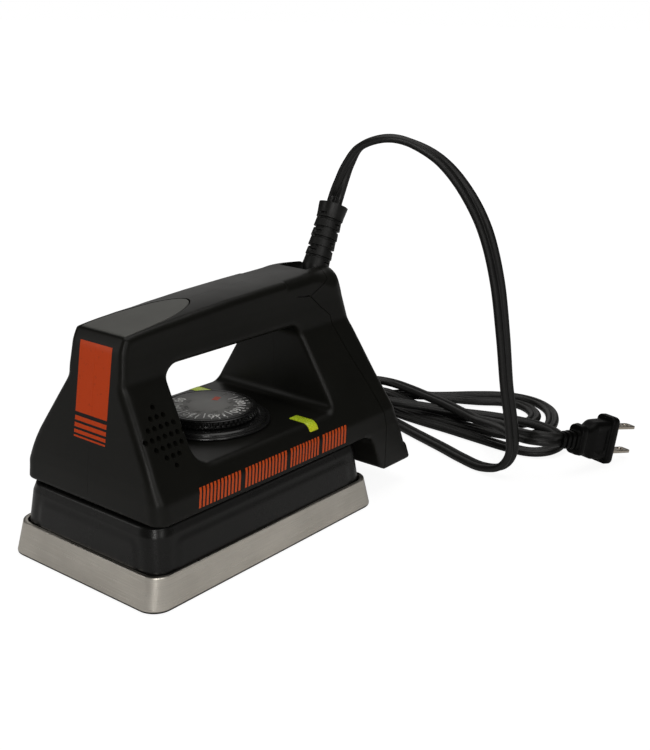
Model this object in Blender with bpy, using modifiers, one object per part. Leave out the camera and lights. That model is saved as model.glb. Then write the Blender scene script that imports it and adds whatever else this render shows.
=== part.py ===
"""Electric waxing iron for skis and snowboards, as separate pieces.

Frame: metres, +Z up, origin at the centre of the sole plate's underside. -Y is the front (toe) of the
iron, +Y its heel, and the dial turns about a vertical axis through the deck under the handle.
"""
import math

import bmesh
import bpy
from mathutils import Euler, Matrix, Vector

MM = 0.001
GAP = 0.3 * MM                     # clearance kept between neighbouring pieces

# Sole plate and cover
SOLE_HALF_WIDTH = 44.5 * MM
SOLE_HALF_LENGTH = 70.0 * MM
SOLE_BASE = 7.0 * MM               # thickness of the plate inside the rim
RIM_TOP = 14.2 * MM
RIM_HALF_WIDTH = 43.1 * MM
RIM_HALF_LENGTH = 67.0 * MM
RIM_WALL = 1.5 * MM
SHIELD_TOP = 32.0 * MM
SHIELD_SHEET = 1.0 * MM
BOARD_BOTTOM, BOARD_TOP = 32.4 * MM, 34.4 * MM
STRAP_BOTTOM, STRAP_TOP = 34.7 * MM, 36.2 * MM

# Housing
WALL = 2.4 * MM
DECK = 49.0 * MM                   # floor of the hand opening
GRIP_UNDERSIDE = 85.3 * MM
OPENING_FRONT, OPENING_REAR = -37.3 * MM, 48.0 * MM

# Dial and thermostat
DIAL_Y = 5.4 * MM
DIAL_RADIUS = 21.2 * MM
DIAL_TOP_RADIUS = 19.7 * MM
DIAL_BOTTOM, DIAL_TOP = 51.9 * MM, 55.6 * MM
SPINDLE_RADIUS = 3.0 * MM
LEAF_PIVOT = (0.0, 23.4 * MM, 17.4 * MM)

# Cord, strain relief and plug
CORD_WIDTH = 7.3 * MM
BOOT_POINT = (0.0, 77.8 * MM, 105.0 * MM)
BOOT_LEAN = math.radians(25.7)
BOOT_LENGTH = 30.0 * MM
PLUG_FACE = Vector((104.7, 186.0, 13.5)) * MM
PLUG_AXIS = Vector((0.264, 0.945, -0.19)).normalized()
PLUG_LENGTH = 36.5 * MM
BLADE_SPACING = 12.7 * MM
BLADE_LENGTH = 17.0 * MM

for old in list(bpy.data.objects):
    bpy.data.objects.remove(old, do_unlink=True)
PARTS = bpy.data.collections.new("waxing_iron")
CUTTERS = bpy.data.collections.new("cutters")
bpy.context.scene.collection.children.link(PARTS)
bpy.context.scene.collection.children.link(CUTTERS)


# ---------------------------------------------------------------- materials
def finish(name, colour, roughness, metallic=0.0):
    material = bpy.data.materials.new(name)
    material.use_nodes = True
    shader = material.node_tree.nodes["Principled BSDF"]
    shader.inputs["Base Color"].default_value = (*colour, 1.0)
    shader.inputs["Roughness"].default_value = roughness
    shader.inputs["Metallic"].default_value = metallic
    return material


BRUSHED = finish("brushed_aluminium", (0.42, 0.39, 0.36), 0.38, 1.0)
ENAMEL = finish("black_enamel", (0.012, 0.012, 0.011), 0.16)
HOUSING_BLACK = finish("housing_plastic", (0.013, 0.013, 0.011), 0.42)
PAD_GREY = finish("pad_rubber", (0.09, 0.095, 0.085), 0.6)
DIAL_BLACK = finish("dial_plastic", (0.012, 0.012, 0.012), 0.3)
DIAL_PRINT = finish("dial_print", (0.06, 0.058, 0.052), 0.35)
LENS = finish("lens_green", (0.48, 0.66, 0.02), 0.25)
RUBBER = finish("cord_rubber", (0.014, 0.014, 0.013), 0.5)
PLATED = finish("plated_steel", (0.55, 0.52, 0.47), 0.3, 1.0)
STEEL = finish("zinc_steel", (0.45, 0.46, 0.47), 0.4, 1.0)
BRASS = finish("brass", (0.62, 0.45, 0.16), 0.35, 1.0)
CERAMIC = finish("ceramic", (0.75, 0.72, 0.66), 0.55)
MINERAL = finish("mineral_board", (0.55, 0.53, 0.48), 0.85)
GLASS = finish("lamp_glass", (0.75, 0.35, 0.18), 0.1)


# ---------------------------------------------------------------- outlines
def inset(points, distance):
    """The outline moved inwards (counter-clockwise points), with mitred corners."""
    moved = []
    for i, point in enumerate(points):
        before, here, after = Vector(points[i - 1]), Vector(point), Vector(points[(i + 1) % len(points)])
        a, b = (here - before).normalized(), (after - here).normalized()
        normal_a, normal_b = Vector((-a.y, a.x)), Vector((-b.y, b.x))
        bisector = (normal_a + normal_b).normalized()
        moved.append(tuple(here + bisector * (distance / max(0.35, bisector.dot(normal_a)))))
    return moved


def rounded(corners, steps=4):
    """Outline through (x, y, radius) corners, each rounded by an arc."""
    points = []
    for i, (x, y, radius) in enumerate(corners):
        here = Vector((x, y))
        before, after = Vector(corners[i - 1][:2]), Vector(corners[(i + 1) % len(corners)][:2])
        to_before, to_after = (before - here).normalized(), (after - here).normalized()
        half = to_before.angle(to_after) / 2
        if radius == 0:
            points.append(tuple(here))
            continue
        centre = here + (to_before + to_after).normalized() * (radius / math.sin(half))
        start = here + to_before * (radius / math.tan(half)) - centre
        turn = start.angle_signed(here + to_after * (radius / math.tan(half)) - centre)
        for k in range(steps + 1):
            points.append(tuple(centre + Matrix.Rotation(-turn * k / steps, 2) @ start))
    return points


def rectangle(half_x, half_y, radius=0.0, centre=(0.0, 0.0), steps=4):
    cx, cy = centre
    return rounded([(cx - half_x, cy - half_y, radius), (cx + half_x, cy - half_y, radius),
                    (cx + half_x, cy + half_y, radius), (cx - half_x, cy + half_y, radius)], steps)


def circle(radius, centre=(0.0, 0.0), sides=16):
    return [(centre[0] + radius * math.cos(math.tau * k / sides),
             centre[1] + radius * math.sin(math.tau * k / sides)) for k in range(sides)]


# ---------------------------------------------------------------- solids
def link(name, mesh, material=None, cutter=False):
    obj = bpy.data.objects.new(name, mesh)
    (CUTTERS if cutter else PARTS).objects.link(obj)
    if cutter:
        obj.hide_render = True
        obj.display_type = "WIRE"
    if material:
        mesh.materials.clear()
        mesh.materials.append(material)
    return obj


def as_mesh(obj, name, material=None, cutter=False):
    """Replace a curve or a modified object by the plain closed mesh it makes."""
    bpy.context.view_layer.update()
    mesh = bpy.data.meshes.new_from_object(obj.evaluated_get(bpy.context.evaluated_depsgraph_get()))
    mesh.name = name
    work = bmesh.new()
    work.from_mesh(mesh)
    work.transform(obj.matrix_world)
    bmesh.ops.remove_doubles(work, verts=work.verts, dist=1e-6)
    bmesh.ops.recalc_face_normals(work, faces=work.faces)
    work.to_mesh(mesh)
    work.free()
    bpy.data.objects.remove(obj, do_unlink=True)
    return link(name, mesh, material, cutter)


# Local x and y of an outline lie along these world axes, its thickness along the third.
PLANES = {"XY": Euler((0, 0, 0)), "XZ": Euler((math.pi / 2, 0, 0)), "YZ": Euler((math.pi / 2, 0, math.pi / 2))}
THICKNESS_SIGN = {"XY": 1, "XZ": -1, "YZ": 1}


def slab(name, loops, low, high, plane="XY", material=None, cutter=False):
    """Flat outline(s) given thickness from low to high along the axis that the plane leaves out."""
    curve = bpy.data.curves.new(name, "CURVE")
    curve.dimensions = "2D"
    curve.fill_mode = "BOTH"
    curve.extrude = (high - low) / 2
    for loop in loops:
        spline = curve.splines.new("POLY")
        spline.points.add(len(loop) - 1)
        for point, (x, y) in zip(spline.points, loop):
            point.co = (x, y, 0, 1)
        spline.use_cyclic_u = True
    obj = link(name + "_outline", curve)
    obj.rotation_euler = PLANES[plane]
    obj.location = PLANES[plane].to_matrix() @ Vector((0, 0, THICKNESS_SIGN[plane] * (low + high) / 2))
    return as_mesh(obj, name, material, cutter)


def block(name, low, high, material=None, cutter=False):
    mesh = bpy.data.meshes.new(name)
    work = bmesh.new()
    size = [h - l for l, h in zip(low, high)]
    bmesh.ops.create_cube(work, size=1, matrix=Matrix.Diagonal((*size, 1)))
    work.to_mesh(mesh)
    work.free()
    obj = link(name, mesh, material, cutter)
    obj.location = [(l + h) / 2 for l, h in zip(low, high)]
    return obj


def rod(name, start, end, radius, sides=16, material=None, cutter=False):
    start, end = Vector(start), Vector(end)
    mesh = bpy.data.meshes.new(name)
    work = bmesh.new()
    bmesh.ops.create_cone(work, cap_ends=True, segments=sides, radius1=radius, radius2=radius,
                          depth=(end - start).length)
    work.to_mesh(mesh)
    work.free()
    obj = link(name, mesh, material, cutter)
    obj.location = (start + end) / 2
    obj.rotation_euler = (end - start).to_track_quat("Z", "Y").to_euler()
    return obj


def turned(name, profile, place, sides=32, material=None, closed=False, cutter=False):
    """Solid turned about its own Z: profile of (radius, height), down the outer side."""
    mesh = bpy.data.meshes.new(name)
    edges = [(k, k + 1) for k in range(len(profile) - 1)]
    if closed:
        edges.append((len(profile) - 1, 0))
    mesh.from_pydata([(r, 0, z) for r, z in profile], edges, [])
    obj = link(name, mesh, material, cutter)
    obj.location = place
    screw = obj.modifiers.new("turn", "SCREW")
    screw.steps = screw.render_steps = sides
    screw.use_merge_vertices = True
    screw.merge_threshold = 1e-6
    screw.use_smooth_shade = False
    return obj


def tapered(name, levels, material=None, cutter=False, floor=True, lid=True, steps=4):
    """Loft through rounded rectangles: levels of (height, half_x, half_y, corner_radius)."""
    rings = [[(x, y, z) for x, y in rectangle(hx, hy, radius, steps=steps)] for z, hx, hy, radius in levels]
    count = len(rings[0])
    mesh = bpy.data.meshes.new(name)
    work = bmesh.new()
    verts = [[work.verts.new(point) for point in ring] for ring in rings]
    for lower, upper in zip(verts, verts[1:]):
        for k in range(count):
            work.faces.new((lower[k], lower[(k + 1) % count], upper[(k + 1) % count], upper[k]))
    if floor:
        work.faces.new(list(reversed(verts[0])))
    if lid:
        work.faces.new(verts[-1])
    work.to_mesh(mesh)
    work.free()
    return link(name, mesh, material, cutter)


def smooth_route(points, pieces):
    """Points along a Catmull-Rom curve through the given points."""
    ends = [2 * Vector(points[0]) - Vector(points[1])] + [Vector(p) for p in points]
    ends.append(2 * ends[-1] - ends[-2])
    route = []
    for a, b, c, d in zip(ends, ends[1:], ends[2:], ends[3:]):
        for k in range(pieces):
            t = k / pieces
            route.append(0.5 * (2 * b + (c - a) * t + (2 * a - 5 * b + 4 * c - d) * t ** 2
                                + (3 * b - a - 3 * c + d) * t ** 3))
    route.append(ends[-2])
    return route


def tube(name, route, radius, material=None, cutter=False, resolution=2):
    curve = bpy.data.curves.new(name, "CURVE")
    curve.dimensions = "3D"
    curve.bevel_depth = radius
    curve.bevel_resolution = resolution
    curve.use_fill_caps = True
    spline = curve.splines.new("POLY")
    spline.points.add(len(route) - 1)
    for point, place in zip(spline.points, route):
        point.co = (*place, 1)
    if cutter:
        return as_mesh(link(name + "_curve", curve), name, material, cutter)
    return link(name, curve, material)


def wire(name, points, radius=1.1 * MM):
    return tube(name, smooth_route([Vector(p) * MM for p in points], 3), radius, RUBBER, resolution=1)


def combine(obj, other, operation="DIFFERENCE"):
    modifier = obj.modifiers.new(operation.lower(), "BOOLEAN")
    modifier.operation = operation
    modifier.object = other
    modifier.solver = "EXACT"
    return obj


def group(name, members):
    """Join separate cutters that don't meet into one cutter."""
    work = bmesh.new()
    for member in members:
        bpy.context.view_layer.update()
        mesh = member.data.copy()
        mesh.transform(member.matrix_world)
        work.from_mesh(mesh)
        bpy.data.objects.remove(member, do_unlink=True)
    mesh = bpy.data.meshes.new(name)
    work.to_mesh(mesh)
    work.free()
    return link(name, mesh, cutter=True)


def screw(name, head, direction, length, material=STEEL):
    """Pan-head screw: head seat at a point, shank along the direction."""
    head, axis = Vector(head), Vector(direction).normalized()
    profile = [(0, 2.2 * MM), (2.3 * MM, 2.2 * MM), (3.0 * MM, 1.4 * MM), (3.0 * MM, 0),
               (1.5 * MM, 0), (1.5 * MM, 1.0 * MM - length), (0.6 * MM, -length), (0, -length)]
    obj = turned(name, profile, head, 8, material)
    obj.rotation_euler = (-axis).to_track_quat("Z", "Y").to_euler()
    return obj


# ---------------------------------------------------------------- sole, heater and cover
POSTS = [(sx * 32.5 * MM, sy * 48.5 * MM) for sy in (-1, 1) for sx in (-1, 1)]
CLAMP_SCREWS = [(0.0, -38.0 * MM), (0.0, 40.0 * MM)]
WIRE_HOLES = [(-12.0 * MM, 57.0 * MM), (12.0 * MM, 57.0 * MM)]


def heater_route():
    """U-shaped tube: up at both ends, along the legs and round the toe."""
    leg_x, level, bend = 24.0 * MM, 7.2 * MM, 6.5 * MM
    toe_y, heel_y, end_z = -26.0 * MM, 55.0 * MM, 19.0 * MM
    left = [Vector((-leg_x, heel_y, end_z))]
    for k in range(5):
        angle = math.pi / 2 * k / 4
        left.append(Vector((-leg_x, heel_y - bend + bend * math.cos(angle),
                            level + bend - bend * math.sin(angle))))
    toe = [Vector((-leg_x * math.cos(a), toe_y - leg_x * math.sin(a), level))
           for a in (math.pi * k / 12 for k in range(13))]
    right = [Vector((-p.x, p.y, p.z)) for p in reversed(left)]
    return left + toe + right


def make_sole():
    sole = tapered("sole_plate", [
        (0, SOLE_HALF_WIDTH - 1.2 * MM, SOLE_HALF_LENGTH - 1.2 * MM, 6.0 * MM),
        (1.3 * MM, SOLE_HALF_WIDTH, SOLE_HALF_LENGTH, 7.0 * MM),
        (RIM_TOP, RIM_HALF_WIDTH, RIM_HALF_LENGTH, 6.5 * MM)], BRUSHED)
    pocket = tapered("sole_pocket", [
        (z, RIM_HALF_WIDTH - RIM_WALL, RIM_HALF_LENGTH - RIM_WALL, 5.5 * MM)
        for z in (SOLE_BASE, RIM_TOP + 3 * MM)], cutter=True)
    combine(sole, pocket)
    combine(sole, tube("heater_groove", heater_route(), 3.55 * MM, cutter=True, resolution=2))
    holes = [rod("hole", (x, y, 2.6 * MM), (x, y, 12 * MM), 1.9 * MM, 10, cutter=True)
             for x, y in CLAMP_SCREWS]
    combine(sole, group("sole_screw_holes", holes))
    tube("heating_element", heater_route(), 3.2 * MM, STEEL)


def make_clamp():
    slab("element_clamp_plate", [
        rectangle(27.8 * MM, 45.0 * MM, 6 * MM, (0, -1.0 * MM)),
        rectangle(15.0 * MM, 25.0 * MM, 3 * MM, (0, 11.0 * MM)),
        *(circle(1.9 * MM, place, 10) for place in CLAMP_SCREWS)], 10.8 * MM, 12.3 * MM, "XY", STEEL)
    for k, (x, y) in enumerate(CLAMP_SCREWS):
        screw(f"clamp_screw_{k + 1}", (x, y, 12.6 * MM), (0, 0, -1), 9.0 * MM)


def make_shield():
    shield = tapered("heat_shield", [
        (9.0 * MM, 41.2 * MM, 65.1 * MM, 6.0 * MM),
        (14.2 * MM, 41.1 * MM, 65.0 * MM, 6.5 * MM),
        (28.0 * MM, 39.6 * MM, 64.0 * MM, 7.5 * MM),
        (30.8 * MM, 38.8 * MM, 63.2 * MM, 7.5 * MM),
        (SHIELD_TOP, 37.0 * MM, 61.4 * MM, 7.0 * MM)], ENAMEL, floor=False)
    sheet = shield.modifiers.new("sheet", "SOLIDIFY")
    sheet.thickness = SHIELD_SHEET
    sheet.offset = -1
    holes = [rod("hole", (x, y, 28 * MM), (x, y, 34 * MM), r, n, cutter=True) for x, y, r, n in
             [(*p, 1.9 * MM, 10) for p in POSTS] + [(*p, 3.9 * MM, 12) for p in WIRE_HOLES]
             + [(0, DIAL_Y, 8 * MM, 20)]]
    combine(shield, group("shield_holes", holes))


def make_stack_between_cover_and_housing():
    slab("insulation_board", [
        rectangle(36.0 * MM, 58.0 * MM, 6 * MM, (0, 1.0 * MM)),
        circle(8 * MM, (0, DIAL_Y), 20),
        *(circle(1.9 * MM, place, 10) for place in POSTS),
        *(circle(3.9 * MM, place, 12) for place in WIRE_HOLES)], BOARD_BOTTOM, BOARD_TOP, "XY", MINERAL)
    for name, y in (("mounting_strap_front", -48.5 * MM), ("mounting_strap_rear", 48.5 * MM)):
        slab(name, [rectangle(36.6 * MM, 4.0 * MM, 3 * MM, (0, y)),
                    circle(1.9 * MM, (-32.5 * MM, y), 10), circle(1.9 * MM, (32.5 * MM, y), 10)],
             STRAP_BOTTOM, STRAP_TOP, "XY", STEEL)
    for k, (x, y) in enumerate(POSTS):
        bore_floor, foot, head = 20.0 * MM, SOLE_BASE + GAP, SHIELD_TOP - SHIELD_SHEET - GAP
        turned(f"standoff_{k + 1}", [
            (0, bore_floor), (1.9 * MM, bore_floor), (1.9 * MM, head), (3.5 * MM, head),
            (3.5 * MM, foot), (0, foot)], (x, y, 0), 12, STEEL)
        screw(f"cover_screw_{k + 1}", (x, y, STRAP_TOP + GAP), (0, 0, -1), 15.0 * MM)
    for side, (x, y) in zip(("left", "right"), WIRE_HOLES):
        turned(f"wire_grommet_{side}", [
            (2.3 * MM, 35.5 * MM), (3.6 * MM, 35.5 * MM), (3.6 * MM, 30.0 * MM),
            (2.3 * MM, 30.0 * MM)], (x, y, 0), 12, RUBBER, closed=True)


# ---------------------------------------------------------------- housing
def side_outline():
    """Side view (y, z), counter-clockwise from the toe's lower edge."""
    points = [(-62.8, 33.0), (65.0, 33.0), (69.4, 31.4), (72.1, 27.4), (78.0, 14.6), (82.0, 12.0),
              (105.0, 12.0), (101.2, 20.0), (99.2, 21.0), (96.2, 28.0), (92.2, 36.0), (90.6, 41.0),
              (88.4, 52.0), (86.0, 81.0), (85.3, 91.0), (83.5, 98.5), (80.5, 104.0), (76.0, 106.6),
              (69.0, 107.2), (45.0, 107.0), (17.0, 106.3), (-6.0, 105.2), (-25.0, 103.9),
              (-40.0, 102.4), (-52.0, 100.8), (-53.8, 99.6), (-54.7, 96.4), (-59.0, 68.1),
              (-61.5, 52.2), (-62.6, 42.0)]
    return [(y * MM, z * MM) for y, z in points]


def front_outline():
    """Front view (x, z), counter-clockwise: base, flare, narrow handle and crowned top."""
    half = [(40.2, 5.0), (41.0, 28.0), (41.0, 34.0), (40.4, 39.5), (39.1, 43.6), (33.4, 55.1),
            (23.7, 70.6), (18.2, 79.6), (16.6, 83.6), (15.8, 90.0), (15.4, 97.0), (14.8, 102.5),
            (13.0, 105.4), (10.0, 106.8), (6.0, 107.4), (0.0, 107.6)]
    right = [(x * MM, z * MM) for x, z in half]
    return right + [(-x, z) for x, z in reversed(right[:-1])]


def opening_outline(extra=0.0):
    """The hand opening, side view (y, z): sloping front edge, level deck and grip."""
    corners = [(OPENING_FRONT, DECK, 5 * MM), (OPENING_REAR, DECK, 4 * MM),
               (OPENING_REAR, GRIP_UNDERSIDE, 6 * MM), (-32.8 * MM, GRIP_UNDERSIDE, 7 * MM)]
    return inset(rounded(corners, 3), -extra)


def cover_outline(gap=0.0):
    """Side view of everything behind the seam, which belongs to the rear cover."""
    seam = [(130.0, 112.0), (69.0, 112.0), (69.0, 103.0), (55.5, 97.2), (62.1, 91.3), (68.6, 86.3),
            (69.9, 81.7), (72.5, 67.5), (76.9, 51.6), (80.3, 40.6), (81.2, 34.3), (81.8, 5.0),
            (130.0, 5.0)]
    return inset([(y * MM, z * MM) for y, z in seam], gap)


SIDE_SCREWS = [(-50.0, 46.0, -26.0, 5.2), (-46.0, 93.0, -9.0, 4.8),
               (58.0, 90.0, -9.0, 4.8), (58.0, 46.0, -26.0, 5.2)]   # y, z, head seat x, boss radius
COVER_SCREWS = [(-20.0, 46.0), (20.0, 46.0)]                         # x, z
COVER_SEAT = 85.0 * MM


def housing_cavity():
    """The hollow of the housing: everything a wall's thickness inside, less the screw bosses."""
    cavity = slab("cavity", [inset(side_outline(), WALL)], -50 * MM, 50 * MM, "YZ", cutter=True)
    combine(cavity, slab("cavity_front", [inset(front_outline(), WALL)], -90 * MM, 130 * MM, "XZ",
                         cutter=True), "INTERSECT")
    combine(cavity, slab("cavity_opening", [opening_outline(WALL)], -60 * MM, 60 * MM, "YZ", cutter=True))
    for k, (y, z, _, radius) in enumerate(SIDE_SCREWS):
        combine(cavity, rod(f"side_boss_{k + 1}", (-50 * MM, y * MM, z * MM), (50 * MM, y * MM, z * MM),
                            radius * MM, 14, cutter=True))
    for k, (x, z) in enumerate(COVER_SCREWS):
        combine(cavity, rod(f"cover_boss_{k + 1}", (x * MM, 56 * MM, z * MM), (x * MM, 100 * MM, z * MM),
                            4.6 * MM, 14, cutter=True))
    return as_mesh(cavity, "housing_cavity", cutter=True)


def vent_holes():
    """Diamond of holes, 1-3-5-7-5-3-1, through both flared sides of the front pillar."""
    centre_y, centre_z, pitch_y, pitch_z, radius = -47.0, 63.2, 3.28, 3.43, 1.1
    holes = []
    for row in range(-3, 4):
        for column in range(abs(row) - 3, 4 - abs(row)):
            y, z = (centre_y + column * pitch_y) * MM, (centre_z + row * pitch_z) * MM
            holes.append(rod("vent", (-46 * MM, y, z), (46 * MM, y, z), radius * MM, 6, cutter=True))
    return group("vent_holes", holes)


def screw_bores():
    bores = []
    for y, z, seat, _ in SIDE_SCREWS:
        y, z, seat = y * MM, z * MM, seat * MM
        bores.append(rod("bore", (seat - 3 * MM, y, z), (12 * MM, y, z), 1.85 * MM, 12, cutter=True))
        bores.append(rod("bore", (-50 * MM, y, z), (seat, y, z), 3.4 * MM, 12, cutter=True))
    for x, z in COVER_SCREWS:
        x, z = x * MM, z * MM
        bores.append(rod("bore", (x, 64 * MM, z), (x, COVER_SEAT + 3 * MM, z), 1.85 * MM, 12, cutter=True))
        bores.append(rod("bore", (x, COVER_SEAT, z), (x, 100 * MM, z), 3.4 * MM, 12, cutter=True))
    return bores


LENS_Y = (28.9 * MM, 34.5 * MM)


def lens_outline(side, grow=0.0):
    """Strip on the deck that bends down over its edge, front view (x, z)."""
    outer = [(26.4, 49.3), (35.8, 49.3), (37.4, 48.2), (38.2, 46.5), (39.4, 43.6)]
    inner = [(36.6, 42.6), (35.6, 45.6), (34.8, 46.7), (26.4, 46.7)]
    points = [(side * x * MM, z * MM) for x, z in outer + inner]
    if side > 0:
        points.reverse()
    return inset(points, -grow)


def make_housing():
    body = slab("housing_body", [side_outline()], -50 * MM, 50 * MM, "YZ", cutter=True)
    combine(body, slab("housing_front", [front_outline()], -90 * MM, 130 * MM, "XZ", cutter=True),
            "INTERSECT")
    body = as_mesh(body, "housing_envelope", cutter=True)
    make_thumb_pad(body)
    shell = link("housing_shell", body.data.copy(), HOUSING_BLACK, cutter=True)
    combine(shell, slab("hand_opening", [opening_outline()], -60 * MM, 60 * MM, "YZ", cutter=True))
    combine(shell, housing_cavity())
    combine(shell, block("bottom_opening", (-38.4 * MM, -60 * MM, 20 * MM),
                         (38.4 * MM, 61 * MM, 37 * MM), cutter=True))
    combine(shell, block("cord_slot", (-8 * MM, 69 * MM, 98 * MM), (8 * MM, 100 * MM, 115 * MM),
                         cutter=True))
    combine(shell, rod("dial_hole", (0, DIAL_Y, 40 * MM), (0, DIAL_Y, 52 * MM), 6 * MM, 20, cutter=True))
    for side in (-1, 1):
        combine(shell, slab("lens_slot", [lens_outline(side, 0.35 * MM)], LENS_Y[0] - 0.35 * MM,
                            LENS_Y[1] + 0.35 * MM, "XZ", cutter=True))
    combine(shell, bpy.data.objects["pad_recess"])
    combine(shell, vent_holes())
    for bore in screw_bores():
        combine(shell, bore)
    shell = as_mesh(shell, "housing_shell", HOUSING_BLACK, cutter=True)
    behind_seam = slab("behind_seam", [cover_outline()], -60 * MM, 60 * MM, "YZ", cutter=True)
    for name, low, high in (("housing_left", -GAP / 2, 70 * MM), ("housing_right", -70 * MM, GAP / 2)):
        half = link(name, shell.data.copy(), HOUSING_BLACK)
        combine(half, behind_seam)
        combine(half, block(name + "_other_side", (low, -120 * MM, -20 * MM),
                            (high, 150 * MM, 150 * MM), cutter=True))
    cover = link("rear_cover", shell.data.copy(), HOUSING_BLACK)
    combine(cover, slab("cover_region", [cover_outline(0.35 * MM)], -60 * MM, 60 * MM, "YZ", cutter=True),
            "INTERSECT")


def make_housing_screws():
    for k, (y, z, seat, _) in enumerate(SIDE_SCREWS):
        length = (10.0 - seat) * MM if seat < -20 else 17.0 * MM
        screw(f"housing_screw_{k + 1}", (seat * MM - GAP, y * MM, z * MM), (1, 0, 0), length)
    for (x, z), side in zip(COVER_SCREWS, ("left", "right")):
        screw(f"rear_cover_screw_{side}", (x * MM, COVER_SEAT + GAP, z * MM), (0, -1, 0), 18.0 * MM)


PAD_FRONT, PAD_REAR, PAD_HALF_WIDTH, PAD_THICKNESS = -51.3 * MM, -6.3 * MM, 13.3 * MM, 1.2 * MM


def pad_outline(grow=0.0):
    """Thumb pad from above: straight front edge, sides closing to a round tip."""
    right = []
    for k in range(13):
        t = math.sin(math.pi / 2 * k / 12)
        half = PAD_HALF_WIDTH * (1 - t ** 2.4) ** 0.625
        right.append((half, PAD_FRONT + t * (PAD_REAR - PAD_FRONT)))
    points = right + [(-x, y) for x, y in reversed(right[:-1])]
    return inset(points, -grow)


def make_thumb_pad(envelope):
    """Inlay that follows the top of the handle, and the recess it lies in."""
    for name, grow, depth, keep in (("thumb_pad", 0.0, PAD_THICKNESS, False),
                                    ("pad_recess", 0.35 * MM, PAD_THICKNESS + GAP, True)):
        piece = slab(name + "_prism", [pad_outline(grow)], 95 * MM, 115 * MM, "XY", cutter=True)
        below = link(name + "_below", envelope.data.copy(), cutter=True)
        below.location.z = -depth
        if not keep:
            combine(piece, envelope, "INTERSECT")
        combine(piece, below)
        as_mesh(piece, name, PAD_GREY, cutter=keep)


def make_lenses():
    for name, side in (("indicator_lens_left", -1), ("indicator_lens_right", 1)):
        slab(name, [lens_outline(side)], *LENS_Y, "XZ", LENS)


# ---------------------------------------------------------------- dial and thermostat
def make_dial():
    axis = (0, DIAL_Y, 0)
    turned("dial_collar", [(6 * MM, 51.5 * MM), (24.6 * MM, 51.5 * MM), (25.4 * MM, 51.0 * MM),
                           (25.6 * MM, 50.2 * MM), (28.2 * MM, 50.2 * MM), (28.8 * MM, DECK + GAP),
                           (6 * MM, DECK + GAP)], axis, 36, DIAL_BLACK, closed=True)
    face_seat = DIAL_TOP - 0.9 * MM
    bore = SPINDLE_RADIUS + 0.35 * MM
    turned("dial_knob", [(0, face_seat), (19.2 * MM, face_seat), (19.2 * MM, DIAL_TOP),
                         (DIAL_TOP_RADIUS, DIAL_TOP), (DIAL_RADIUS, DIAL_TOP - 0.8 * MM),
                         (DIAL_RADIUS, DIAL_BOTTOM), (bore, DIAL_BOTTOM), (bore, 53.6 * MM),
                         (0, 53.6 * MM)], axis, 36, DIAL_BLACK)
    turned("dial_face", [(0, DIAL_TOP), (18.6 * MM, DIAL_TOP), (18.9 * MM, DIAL_TOP - 0.3 * MM),
                         (18.9 * MM, face_seat + GAP), (0, face_seat + GAP)], axis, 36, DIAL_PRINT)
    spindle = turned("thermostat_spindle", [(0, 53.2 * MM), (2.6 * MM, 53.2 * MM),
                                            (SPINDLE_RADIUS, 52.8 * MM), (SPINDLE_RADIUS, 22.0 * MM),
                                            (0, 22.0 * MM)], axis, 16, STEEL)
    combine(spindle, block("spindle_flat", (1.8 * MM, DIAL_Y - 5 * MM, 46 * MM),
                           (6 * MM, DIAL_Y + 5 * MM, 60 * MM), cutter=True))


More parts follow.
